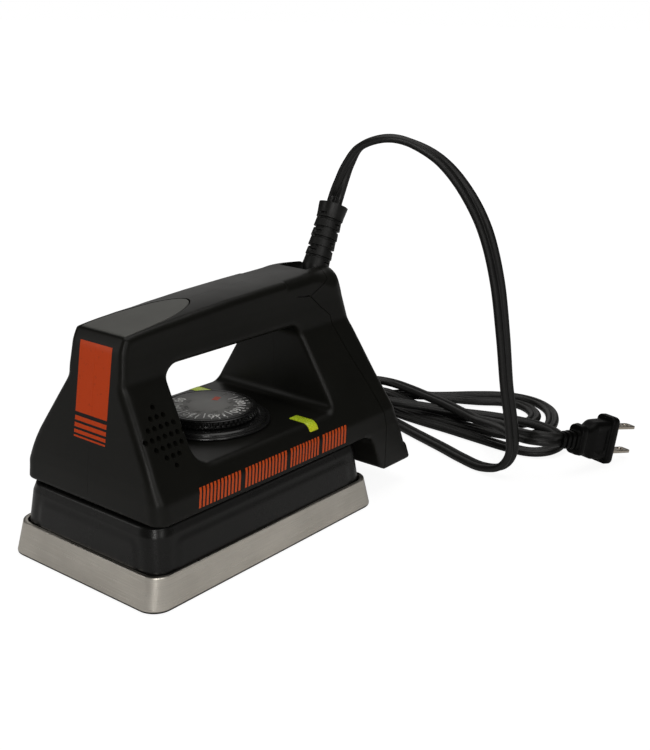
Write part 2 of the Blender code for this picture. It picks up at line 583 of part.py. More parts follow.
def make_thermostat():
    base_low, base_top = SOLE_BASE + GAP, 8.7 * MM
    block("thermostat_base", (-11 * MM, -12 * MM, base_low), (11 * MM, 34.6 * MM, base_top), STEEL)
    turned("thermostat_stack", [(0, 24 * MM), (4.6 * MM, 24 * MM), (5.2 * MM, 23.4 * MM),
                                (5.2 * MM, 19.5 * MM), (4.6 * MM, 19 * MM), (4.6 * MM, 12.8 * MM),
                                (5.2 * MM, 12.3 * MM), (5.2 * MM, base_top + GAP), (0, base_top + GAP)],
           (0, 29 * MM, 0), 20, CERAMIC)
    strip = block("bimetal_strip", (-4 * MM, -11 * MM, 9.8 * MM), (4 * MM, 23.4 * MM, 10.5 * MM), BRASS)
    combine(strip, rod("bimetal_bead", (0, -9 * MM, 10.2 * MM), (0, -9 * MM, 13.4 * MM), 1.4 * MM, 12,
                       cutter=True), "UNION")
    lower = block("lower_contact_leaf", (-3.5 * MM, -11 * MM, 13.8 * MM), (3.5 * MM, 23.4 * MM, 14.3 * MM),
                  BRASS)
    combine(lower, rod("lower_contact", (0, -2 * MM, 14.1 * MM), (0, -2 * MM, 15.3 * MM), 1.6 * MM, 12,
                       cutter=True), "UNION")
    x, y, z = LEAF_PIVOT
    upper = block("upper_contact_leaf", (-3.5 * MM, -4 * MM, z - 0.25 * MM),
                  (3.5 * MM, y, z + 0.25 * MM), BRASS)
    upper.data.transform(Matrix.Translation(upper.location - Vector(LEAF_PIVOT)))
    upper.location = LEAF_PIVOT
    combine(upper, rod("upper_contact", (0, -2 * MM, 16.3 * MM), (0, -2 * MM, 17.3 * MM), 1.6 * MM, 12,
                       cutter=True), "UNION")
    rod("adjusting_pin", (0, DIAL_Y, 18.2 * MM), (0, DIAL_Y, 21.5 * MM), 1.6 * MM, 14, CERAMIC)
    arch = rounded([(-10.5 * MM, base_top + GAP, 0), (-9 * MM, base_top + GAP, 0),
                    (-9 * MM, 23.8 * MM, 0), (9 * MM, 23.8 * MM, 0), (9 * MM, base_top + GAP, 0),
                    (10.5 * MM, base_top + GAP, 0), (10.5 * MM, 25.5 * MM, 1.5 * MM),
                    (-10.5 * MM, 25.5 * MM, 1.5 * MM)], 2)
    bridge = slab("thermostat_bracket", [arch], DIAL_Y - 5 * MM, DIAL_Y + 5 * MM, "XZ", STEEL)
    combine(bridge, rod("bridge_hole", (0, DIAL_Y, 22 * MM), (0, DIAL_Y, 28 * MM), 3.35 * MM, 16,
                        cutter=True))
    bore = SPINDLE_RADIUS + 0.35 * MM
    turned("threaded_bush", [(bore, 31.5 * MM), (4.4 * MM, 31.5 * MM), (4.4 * MM, 28 * MM),
                             (5.6 * MM, 28 * MM), (5.6 * MM, 25.8 * MM), (bore, 25.8 * MM)],
           (0, DIAL_Y, 0), 16, BRASS, closed=True)


def make_electrics():
    fuse = turned("thermal_fuse", [(0, 9 * MM), (0.6 * MM, 9 * MM), (0.6 * MM, 5.8 * MM),
                                   (2 * MM, 5.4 * MM), (2 * MM, -5.4 * MM), (0.6 * MM, -5.8 * MM),
                                   (0.6 * MM, -9 * MM), (0, -9 * MM)],
                  (0, -22 * MM, 14.8 * MM), 12, PLATED)
    fuse.rotation_euler = (0, math.pi / 2, 0)
    lamp = turned("neon_lamp", [(0, 7 * MM), (1.6 * MM, 6.2 * MM), (2.5 * MM, 4.6 * MM),
                                (2.5 * MM, -6 * MM), (0, -6 * MM)], (0, 31.7 * MM, 43.4 * MM), 12, GLASS)
    lamp.rotation_euler = (0, math.pi / 2, 0)
    block("terminal_block", (-14 * MM, 58 * MM, 56 * MM), (14 * MM, 68 * MM, 68 * MM), CERAMIC)
    clamp = block("cord_clamp", (-9 * MM, 65 * MM, 84 * MM), (9 * MM, 76 * MM, 88 * MM), DIAL_BLACK)
    for side in (-1, 1):
        combine(clamp, rod("clamp_hole", (side * 3 * MM, 71 * MM, 80 * MM),
                           (side * 3 * MM, 71 * MM, 92 * MM), 1.5 * MM, 10, cutter=True))
    for name, side in (("supply_lead_live", -1), ("supply_lead_neutral", 1)):
        wire(name, [(side * x, y, z) for x, y, z in ((3, 72, 91.4), (3, 71, 88), (3, 71, 84), (5, 68, 77),
                                                     (7, 64.2, 73), (7, 63, 68.4))])
    wire("heater_lead", [(8, 66.5, 55.2), (8, 66.8, 47), (10, 64.8, 41), (12, 60, 38.4), (12, 57.2, 35),
                         (12, 57, 31), (12.6, 57, 27), (17, 57.3, 23.5), (24, 55.4, 21)])
    wire("thermostat_lead", [(-8, 66.5, 55.2), (-8, 66.8, 47), (-10, 64.8, 41), (-12, 60, 38.4),
                             (-12, 57.2, 35), (-12, 57, 31), (-11.5, 56, 27), (-8, 49, 22), (-3, 41, 18),
                             (0, 35.8, 16.5)])
    wire("fuse_lead_front", [(3, 34.6, 14), (12.5, 34, 15.5), (19, 26, 15), (19, 0, 15), (18, -16, 15.2),
                             (14, -22, 15), (9.6, -22, 14.8)])
    wire("fuse_lead_rear", [(-9.6, -22, 14.8), (-14, -22, 15), (-18, -16, 15.2), (-19, 0, 15),
                            (-19, 30, 15.5), (-22, 46, 22), (-24, 53, 23), (-24, 55.2, 20.8)])


# ---------------------------------------------------------------- cord, strain relief, plug
def boot_direction():
    return Vector((0, math.sin(BOOT_LEAN), math.cos(BOOT_LEAN)))


def make_strain_relief():
    profile = [(0, 30.0), (6.7, 30.0), (6.0, 26.2), (5.2, 26.0), (5.2, 24.8)]
    for k in range(4):
        top = 24.8 - 6.0 * k
        profile += [(5.9, top), (6.1, top - 4.8), (5.2, top - 4.8), (5.2, top - 6.0)]
    profile += [(4.8, 0.6), (4.8, -9.0), (6.6, -9.0), (6.6, -12.0), (0, -12.0)]
    boot = turned("strain_relief", [(r * MM, s * MM) for r, s in profile], BOOT_POINT, 12, RUBBER)
    boot.rotation_euler = (-BOOT_LEAN, 0, 0)


CORD_ROUTE = [(2.0, 93.2, 142.0), (5.2, 95.0, 151.5), (10.1, 97.6, 159.6), (20.1, 102.6, 163.6),
              (30.0, 108.3, 162.0), (42.2, 115.3, 154.6), (52.6, 121.4, 141.4), (61.4, 126.4, 123.2),
              (67.3, 129.9, 99.9), (71.2, 132.0, 73.0), (74.0, 133.6, 48.0), (77.2, 135.4, 27.0),
              (78.0, 135.5, 14.0), (73.0, 135.0, 5.6), (62.0, 135.4, 3.9), (48.0, 139.0, 3.9),
              (32.0, 144.9, 3.9), (9.0, 152.8, 3.9)]
TAIL_ROUTE = [(58.0, 158.0, 16.8), (68.0, 151.0, 18.4), (76.0, 146.4, 19.8), (83.0, 142.8, 21.4),
              (88.6, 142.6, 22.2)]
HANK_ENDS = [((-28.0, 181.0), 24.0), ((44.0, 202.0), 46.0)]     # centre and radius of each round end
HANK_HEIGHT = 13.0 * MM


def hank_outline():
    """Two round ends joined by their outer tangents."""
    (small, r_small), (large, r_large) = HANK_ENDS
    axis = Vector(large) - Vector(small)
    lean = math.asin((r_large - r_small) / axis.length)
    heading = math.atan2(axis.y, axis.x)
    points = []
    for centre, radius, first, last in ((large, r_large, -math.pi / 2 - lean, math.pi / 2 + lean),
                                        (small, r_small, math.pi / 2 + lean, 3 * math.pi / 2 - lean)):
        for k in range(17):
            angle = heading + first + (last - first) * k / 16
            points.append(((centre[0] + radius * math.cos(angle)) * MM,
                           (centre[1] + radius * math.sin(angle)) * MM))
    return points


def make_cord():
    start = Vector(BOOT_POINT) + boot_direction() * (BOOT_LENGTH + GAP)
    route = [start, start + boot_direction() * 4 * MM] + [Vector(p) * MM for p in CORD_ROUTE]
    tube("power_cord", smooth_route(route, 3), CORD_WIDTH / 2, RUBBER)
    slab("cord_hank", [hank_outline()], GAP, HANK_HEIGHT, "XY", RUBBER)
    tail_end = PLUG_FACE - PLUG_AXIS * (PLUG_LENGTH + GAP)
    route = [Vector(p) * MM for p in TAIL_ROUTE] + [tail_end - PLUG_AXIS * 5 * MM, tail_end]
    tube("cord_tail", smooth_route(route, 4), CORD_WIDTH / 2, RUBBER)


def plug_turn():
    """Rotation that lays the plug's own Z along its axis, with its tall side upright."""
    up = (Vector((0, 0, 1)) - PLUG_AXIS * PLUG_AXIS.z).normalized()
    across = up.cross(PLUG_AXIS)
    return Matrix((across, up, PLUG_AXIS)).transposed()


def make_plug():
    sections = [(0.0, 3.4, 3.9, 2.6), (11.0, 3.9, 5.2, 2.8), (11.2, 4.7, 7.4, 2.8), (14.6, 4.8, 7.8, 2.8),
                (14.8, 4.2, 6.6, 2.8), (17.6, 4.3, 7.2, 2.8), (22.0, 4.7, 9.6, 2.4), (31.8, 4.9, 10.0, 2.2),
                (32.0, 5.9, 12.2, 2.6), (36.5, 5.9, 12.2, 2.6)]
    plug = tapered("plug_body", [tuple(v * MM for v in section) for section in sections], RUBBER, steps=3)
    turn = plug_turn()
    plug.location = PLUG_FACE - PLUG_AXIS * PLUG_LENGTH
    plug.rotation_euler = turn.to_euler()
    for name, side in (("plug_blade_lower", -1), ("plug_blade_upper", 1)):
        half, thickness, tip = 3.175 * MM, 1.5 * MM, BLADE_LENGTH
        blade = slab(name, [rounded([(-half, GAP, 0), (half, GAP, 0), (half, tip, 1.6 * MM),
                                     (-half, tip, 1.6 * MM)], 3),
                            circle(1.6 * MM, (0, 11.9 * MM), 10)],
                     -thickness / 2, thickness / 2, "XZ", PLATED)
        place = PLUG_FACE + turn @ Vector((0, side * BLADE_SPACING / 2, 0))
        blade.matrix_world = Matrix.Translation(place) @ turn.to_4x4() @ blade.matrix_world


def hide_cutters():
    for cutter in CUTTERS.objects:
        cutter.hide_render = True
        cutter.display_type = "WIRE"


make_sole()
make_clamp()
make_shield()
make_stack_between_cover_and_housing()
make_housing()
make_housing_screws()
make_lenses()
make_dial()
make_thermostat()
make_electrics()
make_strain_relief()
make_cord()
make_plug()
hide_cutters()
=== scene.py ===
"""Looks of the waxing iron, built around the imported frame. Lengths in the builders are millimetres."""
import contextlib
import math

import bmesh
import bpy
import numpy as np
from mathutils import Matrix, Vector


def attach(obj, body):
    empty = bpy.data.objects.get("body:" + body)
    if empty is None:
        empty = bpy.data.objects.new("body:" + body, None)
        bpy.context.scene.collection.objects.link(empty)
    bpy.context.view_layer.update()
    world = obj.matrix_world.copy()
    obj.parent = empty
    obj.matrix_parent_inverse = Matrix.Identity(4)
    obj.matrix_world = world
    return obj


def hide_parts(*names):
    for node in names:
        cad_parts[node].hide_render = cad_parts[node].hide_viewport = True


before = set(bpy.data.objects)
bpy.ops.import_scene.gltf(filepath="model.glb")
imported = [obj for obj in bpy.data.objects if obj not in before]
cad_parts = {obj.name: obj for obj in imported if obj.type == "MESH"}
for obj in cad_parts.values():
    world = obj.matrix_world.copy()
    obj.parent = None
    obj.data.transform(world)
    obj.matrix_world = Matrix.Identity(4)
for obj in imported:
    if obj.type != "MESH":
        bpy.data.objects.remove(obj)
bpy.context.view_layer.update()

MM = 0.001


# ---------------------------------------------------------------- camera
CAMERA_PLACE = (0.33007, -0.32591, 0.22086)
CAMERA_YAW, CAMERA_PITCH, CAMERA_ROLL = math.radians(38.70), math.radians(17.99), math.radians(0.78)
CAMERA_LENS, CAMERA_SENSOR = 54.54, 36.0


def make_camera():
    data = bpy.data.cameras.new("camera")
    data.lens, data.sensor_width, data.sensor_fit, data.clip_start = CAMERA_LENS, CAMERA_SENSOR, "AUTO", 0.01
    camera = bpy.data.objects.new("camera", data)
    bpy.context.scene.collection.objects.link(camera)
    turn = (Matrix.Rotation(CAMERA_YAW, 4, "Z") @ Matrix.Rotation(math.pi / 2 - CAMERA_PITCH, 4, "X")
            @ Matrix.Rotation(CAMERA_ROLL, 4, "Z"))
    camera.matrix_world = Matrix.Translation(CAMERA_PLACE) @ turn
    bpy.context.scene.camera = camera


make_camera()


# ---------------------------------------------------------------- node materials
class Shader:
    """A material's node tree, with short calls for the nodes used here."""

    def __init__(self, name, colour, roughness, metallic=0.0, **constants):
        self.material = bpy.data.materials.new(name)
        self.material.use_nodes = True
        self.nodes, self.links = self.material.node_tree.nodes, self.material.node_tree.links
        self.shader = self.nodes["Principled BSDF"]
        self.set(Base_Color=colour, Roughness=roughness, Metallic=metallic, **constants)
        self.place = self.nodes.new("ShaderNodeTexCoord").outputs["Object"]

    def join(self, value, socket):
        if isinstance(value, (int, float)):
            socket.default_value = value
        elif isinstance(value, tuple):
            socket.default_value = value if socket.type == "VECTOR" else (*value, 1)
        else:
            self.links.new(value, socket)

    def node(self, kind, *inputs, **named):
        """A node with its first inputs given in order, or its inputs given by name."""
        node = self.nodes.new("ShaderNode" + kind)
        for value, socket in zip(inputs, node.inputs):
            self.join(value, socket)
        for key, value in named.items():
            self.join(value, node.inputs[key.replace("_", " ")])
        return node

    def math(self, operation, a, b=0.0, clamp=False):
        node = self.node("Math", a, b)
        node.operation, node.use_clamp = operation, clamp
        return node.outputs[0]

    def axes(self):
        return self.node("SeparateXYZ", self.place).outputs[:3]

    def between(self, value, low, high):
        above, below = self.math("GREATER_THAN", value, low), self.math("LESS_THAN", value, high)
        return self.math("MULTIPLY", above, below)

    def stretch(self, scale):
        return self.node("Mapping", Vector=self.place, Scale=scale).outputs[0]

    def noise(self, scale, detail, vector=None, roughness=0.55):
        return self.node("TexNoise", Vector=vector or self.place, Scale=scale, Detail=detail,
                         Roughness=roughness).outputs["Fac"]

    def cells(self, scale):
        return self.node("TexVoronoi", Vector=self.place, Scale=scale).outputs["Distance"]

    def span(self, value, low, high, to_low, to_high):
        return self.node("MapRange", value, low, high, to_low, to_high).outputs[0]

    def mix(self, factor, a, b):
        node = self.nodes.new("ShaderNodeMix")
        node.data_type = "RGBA"
        for value, key in ((factor, "Factor"), (a, 6), (b, 7)):
            self.join(value, node.inputs[key])
        return node.outputs[2]

    def set(self, **sockets):
        for key, value in sockets.items():
            self.join(value, self.shader.inputs[key.replace("_", " ")])

    def bump(self, height, strength, distance):
        node = self.node("Bump", Strength=strength, Distance=distance, Height=height)
        before = self.shader.inputs["Normal"].links
        if before:
            self.links.new(before[0].from_socket, node.inputs["Normal"])
        self.links.new(node.outputs[0], self.shader.inputs["Normal"])


def tinted(shader, colour, spread, scale=60.0):
    """Slight light and dark patches of one colour."""
    low, high = (tuple(c * (1 + sign * spread) for c in colour) for sign in (-1, 1))
    return shader.mix(patchy(shader, scale, 5.0, 0.0, 1.0), low, high)


def patchy(shader, scale, detail, low, high):
    """A soft noise stretched between two values."""
    return shader.span(shader.noise(scale, detail), 0.3, 0.7, low, high)


def moulded(name, colour, roughness, grain=900.0, depth=0.000012, wear=0.05, **constants):
    """Satin moulded plastic or rubber: fine grain, soft patches, a slightly uneven gloss."""
    shader = Shader(name, colour, roughness, **constants)
    shader.set(Base_Color=tinted(shader, colour, wear))
    shader.set(Roughness=patchy(shader, 35.0, 6.0, roughness - 0.05, roughness + 0.07))
    shader.bump(shader.noise(grain, 3.0), 0.5, depth)
    return shader


def plated(name, colour, roughness, streak=(40.0, 40.0, 1200.0), **constants):
    """Bare or plated metal with a drawn grain."""
    shader = Shader(name, colour, roughness, 1.0, **constants)
    shader.set(Base_Color=tinted(shader, colour, 0.08, scale=90.0))
    grain = shader.noise(1.0, 4.0, shader.stretch(streak))
    shader.set(Roughness=shader.span(grain, 0.3, 0.7, roughness - 0.06, roughness + 0.08))
    shader.bump(grain, 0.25, 0.00001)
    return shader


# ---------------------------------------------------------------- outlines and fields, in millimetres
def smooth_outline(corners, turn_step=math.radians(4)):
    """Closed outline through (u, v, radius) corners. Radius None takes the largest arc that fits."""
    points = np.array([corner[:2] for corner in corners], float)
    count, outline = len(points), []
    for k, corner in enumerate(corners):
        here = points[k]
        back, ahead = points[k - 1] - here, points[(k + 1) % count] - here
        reach_back, reach_ahead = np.linalg.norm(back), np.linalg.norm(ahead)
        back, ahead = back / reach_back, ahead / reach_ahead
        turn = math.pi - math.acos(np.clip(back @ ahead, -1, 1))
        limit = 0.49 * min(reach_back, reach_ahead)
        wanted = limit if corner[2] is None else min(limit, corner[2] * math.tan(turn / 2))
        if wanted < 1e-3 or turn < 1e-3:
            outline.append(here)
            continue
        radius = wanted / math.tan(turn / 2)
        middle = (back + ahead) / np.linalg.norm(back + ahead)
        centre = here + middle * radius / math.cos(turn / 2)
        start, end = here + back * wanted - centre, here + ahead * wanted - centre
        steps = max(1, math.ceil(turn / turn_step))
        for i in range(steps + 1):
            share = i / steps
            spoke = start * math.sin((1 - share) * turn) + end * math.sin(share * turn)
            outline.append(centre + spoke / math.sin(turn))
    return np.array(outline)


def outline_distance(outline, u, v):
    """Signed distance to a closed outline, negative inside."""
    nearest = np.full(u.shape, 1e12)
    inside = np.zeros(u.shape, bool)
    for a, b in zip(outline, np.roll(outline, -1, axis=0)):
        edge = b - a
        length_squared = edge @ edge
        if length_squared < 1e-12:
            continue
        along = np.clip(((u - a[0]) * edge[0] + (v - a[1]) * edge[1]) / length_squared, 0, 1)
        nearest = np.minimum(nearest, (u - a[0] - along * edge[0]) ** 2 + (v - a[1] - along * edge[1]) ** 2)
        if a[1] != b[1]:
            crosses = (a[1] > v) != (b[1] > v)
            inside ^= crosses & (u < a[0] + edge[0] * (v - a[1]) / edge[1])
    return np.where(inside, -np.sqrt(nearest), np.sqrt(nearest))


class Table:
    """A flat field worked out once on a fine grid and read by interpolation."""

    def __init__(self, outline, low, high):
        self.low, self.step = np.array(low, float), 0.3
        self.size = [int((h - l) / self.step) + 2 for l, h in zip(low, high)]
        u, v = np.meshgrid(*(low[i] + self.step * np.arange(self.size[i]) for i in (0, 1)), indexing="ij")
        self.values = outline_distance(outline, u, v)

    def __call__(self, u, v):
        gu = np.clip((u - self.low[0]) / self.step, 0, self.size[0] - 1.001)
        gv = np.clip((v - self.low[1]) / self.step, 0, self.size[1] - 1.001)
        iu, iv = gu.astype(int), gv.astype(int)
        fu, fv = gu - iu, gv - iv
        t = self.values
        return ((t[iu, iv] * (1 - fu) + t[iu + 1, iv] * fu) * (1 - fv)
                + (t[iu, iv + 1] * (1 - fu) + t[iu + 1, iv + 1] * fu) * fv)


def ease(value, low, high):
    t = np.clip((value - low) / (high - low), 0, 1)
    return t * t * (3 - 2 * t)


def rounded_both(a, b, radius):
    """Inside both fields, with the edge between them rounded."""
    return (np.minimum(np.maximum(a, b) + radius, 0)
            + np.hypot(np.maximum(a + radius, 0), np.maximum(b + radius, 0)) - radius)


def surface_net(field, low, cell):
    """Vertices and quads of the zero level of a sampled field, one vertex in each crossed cell."""
    cells = np.array(field.shape) - 1
    total, count = np.zeros((cells.prod(), 3)), np.zeros(cells.prod())
    edges = []
    for axis in range(3):
        lower = np.take(field, range(field.shape[axis] - 1), axis)
        upper = np.take(field, range(1, field.shape[axis]), axis)
        at = np.argwhere((lower < 0) != (upper < 0))
        key = tuple(at.T)
        crossing = at.astype(float)
        crossing[:, axis] += lower[key] / (lower[key] - upper[key])
        across, up = [a for a in range(3) if a != axis]
        around = []
        for step_a, step_b in ((0, 0), (-1, 0), (-1, -1), (0, -1)):
            cell_at = at.copy()
            cell_at[:, across] += step_a
            cell_at[:, up] += step_b
            valid = ((cell_at >= 0) & (cell_at < cells)).all(1)
            index = np.where(valid, np.ravel_multi_index(np.clip(cell_at, 0, cells - 1).T, cells), -1)
            around.append(index)
            good = index >= 0
            for k in range(3):
                total[:, k] += np.bincount(index[good], crossing[good, k], len(total))
            count += np.bincount(index[good], minlength=len(total))
        around = np.stack(around, 1)
        whole = (around >= 0).all(1)
        flip = (lower[key] < 0) ^ (axis == 1)
        around = np.where(flip[:, None], around, around[:, ::-1])[whole]
        edges.append(around)
    used = count > 0
    number = np.cumsum(used) - 1
    vertices = low + cell * total[used] / count[used, None]
    return vertices, number[np.concatenate(edges)]


def onto_surface(field, vertices):
    """Newton steps that bring vertices onto the zero level of the field."""
    step, rounds, reach = 0.05, 3, 0.6
    for _ in range(rounds):
        value = field(*vertices.T)
        slope = np.stack([(field(*(vertices + step * axis).T) - field(*(vertices - step * axis).T))
                          / (2 * step) for axis in np.eye(3)], 1)
        move = value / np.maximum((slope ** 2).sum(1), 0.3)
        vertices = vertices - np.clip(move, -reach, reach)[:, None] * slope
    return vertices


# ---------------------------------------------------------------- meshes
def add_object(name, mesh, material=None):
    obj = bpy.data.objects.new(name, mesh)
    bpy.context.scene.collection.objects.link(obj)
    if material:
        obj.data.materials.clear()
        obj.data.materials.append(material.material)
    return obj


def mesh_from(name, vertices, faces):
    """Mesh in metres from vertices in millimetres."""
    mesh = bpy.data.meshes.new(name)
    mesh.from_pydata((np.asarray(vertices) * MM).tolist(), [], [list(map(int, face)) for face in faces])
    return mesh


def soften(obj, angle):
    """Smooth shading with creases where faces meet at more than the angle."""
    obj.data.shade_smooth()
    obj.data.set_sharp_from_angle(angle=math.radians(angle))
    return obj


@contextlib.contextmanager
def editing(mesh):
    """A mesh opened as a bmesh and written back."""
    work = bmesh.new()
    work.from_mesh(mesh)
    yield work
    work.to_mesh(mesh)
    work.free()


def seal(obj):
    """Faces pointing out, and no doubled vertices."""
    with editing(obj.data) as work:
        bmesh.ops.remove_doubles(work, verts=work.verts, dist=1e-7)
        bmesh.ops.recalc_face_normals(work, faces=work.faces)
    return obj


def evaluated_mesh(obj):
    """A new mesh of the object with its modifiers applied."""
    bpy.context.view_layer.update()
    return bpy.data.meshes.new_from_object(obj.evaluated_get(bpy.context.evaluated_depsgraph_get()))


def carve(obj, tool, operation="DIFFERENCE"):
    """A boolean with the tool, which is used up."""
    modifier = obj.modifiers.new("carve", "BOOLEAN")
    modifier.operation, modifier.object, modifier.solver = operation, tool, "EXACT"
    mesh = evaluated_mesh(obj)
    obj.modifiers.clear()
    old, obj.data = obj.data, mesh
    bpy.data.meshes.remove(old)
    bpy.data.objects.remove(tool, do_unlink=True)
    return obj


def joined(name, objects):
    """Several separate closed meshes as one object."""
    mesh = bpy.data.meshes.new(name)
    with editing(mesh) as work:
        for obj in objects:
            work.from_mesh(obj.data)
            bpy.data.objects.remove(obj, do_unlink=True)
    return add_object(name, mesh)


def loft(name, rings, material=None, closed_ends=True):
    """Quads between rings of equal count, in millimetres, with flat ends."""
    rings = [np.asarray(ring, float) for ring in rings]
    count = len(rings[0])
    faces = []
    for k in range(len(rings) - 1):
        a, b = k * count, (k + 1) * count
        faces += [(a + i, a + (i + 1) % count, b + (i + 1) % count, b + i) for i in range(count)]
    if closed_ends:
        faces.append(list(range(count))[::-1])
        faces.append([(len(rings) - 1) * count + i for i in range(count)])
    return seal(add_object(name, mesh_from(name, np.concatenate(rings), faces), material))


def ring_at(radius, z, angles, centre):
    """Level ring of points; the radius may change round it."""
    return np.stack([centre[0] + radius * np.cos(angles), centre[1] + radius * np.sin(angles),
                     np.full(len(angles), z)], 1)


def turned(name, profile, centre, material, sides, closed=False):
    """Solid turned about a vertical axis; profile of (radius, height) in millimetres."""
    angles = np.arange(sides) * math.tau / sides
    rings = [ring_at(r, z, angles, centre) for r, z in profile]
    return loft(name, rings + rings[:1] if closed else rings, material, closed_ends=not closed)


def rounded_rectangle(half_x, half_y, radius, z=0.0, steps=14, *, flats):
    """Level ring, counter-clockwise, with each straight side cut into flats pieces."""
    ring = []
    for (sx, sy), first in zip(((1, -1), (1, 1), (-1, 1), (-1, -1)), (-90, 0, 90, 180)):
        turns = np.radians(first + 90 * np.arange(steps + 1) / steps)
        arc = np.stack([sx * (half_x - radius) + radius * np.cos(turns),
                        sy * (half_y - radius) + radius * np.sin(turns)], 1)
        if ring:
            ring.append(np.linspace(ring[-1][-1], arc[0], flats + 1)[1:-1])
        ring.append(arc)
    ring.append(np.linspace(ring[-1][-1], ring[0][0], flats + 1)[1:-1])
    ring = np.concatenate(ring)
    return np.column_stack([ring, np.full(len(ring), z)])


def prism(name, outline, low, high, axis):
    """Outline pushed along a world axis: (y, z) along 0, (x, z) along 1, (x, y) along 2."""
    return loft(name, [np.insert(np.asarray(outline, float), axis, level, axis=1) for level in (low, high)])


def place_piece(obj, body, slot, *nodes):
    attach(obj, body)
    if nodes:
        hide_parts(*nodes)
    return obj


# ---------------------------------------------------------------- cord, strain relief and plug
BOOT_POINT = Vector((0.0, 77.8, 105.0))
BOOT_LEAN = math.radians(25.7)
BOOT_DIRECTION = Vector((0, math.sin(BOOT_LEAN), math.cos(BOOT_LEAN)))
BOOT_LENGTH = 30.0
PLUG_FACE = Vector((104.7, 186.0, 13.5))
PLUG_AXIS = Vector((0.264, 0.945, -0.19)).normalized()
PLUG_LENGTH = 36.5
PLUG_UP = (Vector((0, 0, 1)) - PLUG_AXIS * PLUG_AXIS.z).normalized()
PLUG_ACROSS = PLUG_UP.cross(PLUG_AXIS)
BLADE_SPACING = 12.7
PLUG_PANEL_DEPTH = 0.55     # of the grip recess on each side
TOWARDS_LENS = (0.62, -0.78, 0.15)

ARCH = [(2.0, 93.2, 142.0), (5.2, 95.0, 151.5), (10.1, 97.6, 159.6), (20.1, 102.6, 163.6),
        (30.0, 108.3, 162.0), (42.2, 115.3, 154.6), (52.6, 121.4, 141.4), (61.4, 126.4, 123.2),
        (67.3, 129.9, 99.9), (71.2, 132.0, 73.0), (74.0, 133.6, 48.0), (77.2, 135.4, 27.0),
        (78.0, 135.5, 14.0), (73.0, 135.0, 5.6), (62.0, 135.4, 2.4), (48.0, 139.0, 2.2),
        (32.0, 144.9, 2.2), (9.0, 152.8, 2.2)]
WINDINGS = [(-12.0, 160.5, 2.2), (-30.0, 167.0, 2.2), (-43.0, 177.0, 2.2), (-45.0, 189.0, 2.2),
            (-37.0, 199.0, 2.2), (-24.0, 206.0, 2.2), (-12.0, 216.0, 2.2), (0.0, 228.0, 2.2),
            (12.0, 237.5, 2.2), (24.0, 241.5, 2.2), (36.0, 240.0, 2.2), (47.0, 233.0, 2.2),
            (55.0, 222.0, 2.2), (60.0, 209.0, 2.2), (60.5, 196.5, 2.2), (55.5, 187.0, 2.2),
            (44.0, 181.5, 2.2), (28.0, 180.0, 2.2), (10.0, 179.5, 2.2), (-8.0, 178.5, 2.2),
            (-23.0, 179.5, 2.3), (-34.5, 184.0, 2.6), (-36.0, 192.0, 3.6), (-28.0, 196.5, 5.0),
            (-16.0, 199.5, 6.0), (-3.0, 208.0, 4.4), (8.0, 219.5, 2.5), (18.0, 227.5, 2.2),
            (28.0, 230.5, 2.2), (38.0, 227.0, 2.2), (45.5, 219.0, 2.2), (47.5, 208.5, 2.2),
            (43.0, 200.0, 2.2), (33.0, 196.0, 2.2), (19.0, 193.0, 2.2), (4.0, 189.5, 2.2),
            (-10.0, 187.5, 2.8), (-24.0, 189.0, 4.4), (-36.0, 188.5, 6.2), (-43.5, 181.0, 7.8),
            (-41.0, 171.5, 9.2), (-30.0, 167.5, 9.7), (-15.0, 171.0, 9.3), (0.0, 179.0, 7.9),
            (15.0, 187.0, 6.3), (32.0, 194.0, 6.0), (48.0, 197.5, 6.0), (61.0, 197.5, 6.0),
            (72.0, 194.0, 5.4), (78.5, 185.5, 4.2), (77.5, 175.5, 3.0), (70.0, 169.0, 2.3),
            (57.0, 167.5, 2.2), (40.0, 168.5, 2.2), (20.0, 170.0, 2.2), (2.0, 170.5, 2.3),
            (-14.0, 171.0, 2.9), (-28.0, 171.5, 5.2), (-39.5, 173.8, 8.8), (-47.0, 181.0, 11.2),
            (-46.0, 190.0, 11.2), (-36.0, 194.5, 10.4), (-22.0, 193.0, 10.0), (-8.0, 189.5, 9.8),
            (6.0, 185.5, 9.8), (20.0, 181.0, 9.4), (32.0, 176.5, 9.4), (44.0, 169.5, 12.2)]
TAIL = [(58.0, 158.0, 16.8), (68.0, 151.0, 18.4), (76.0, 146.4, 19.8), (83.0, 142.8, 21.4),
        (88.6, 142.6, 22.2)]


def smooth_route(points, pieces):
    """Points along a Catmull-Rom curve through the given points."""
    ends = [2 * Vector(points[0]) - Vector(points[1])] + [Vector(p) for p in points]
    ends.append(2 * ends[-1] - ends[-2])
    route = []
    for a, b, c, d in zip(ends, ends[1:], ends[2:], ends[3:]):
        for t in (k / pieces for k in range(pieces)):
            route.append(0.5 * (2 * b + (c - a) * t + (2 * a - 5 * b + 4 * c - d) * t ** 2
                                + (3 * b - a - 3 * c + d) * t ** 3))
    return route + [ends[-2]]


def cord_section():
    """Two round conductors side by side, joined by a thinner web: (wide, thick) around the section."""
    lobe = [(1.8 + 1.85 * math.cos(math.radians(a)), 1.85 * math.sin(math.radians(a)))
            for a in (0, 22, 44, 66, 88, 110, 130, 146)]
    upper = lobe + [(0.0, 0.98)] + [(-x, y) for x, y in reversed(lobe)]
    return upper + [(x, -y) for x, y in reversed(upper[1:-1])]


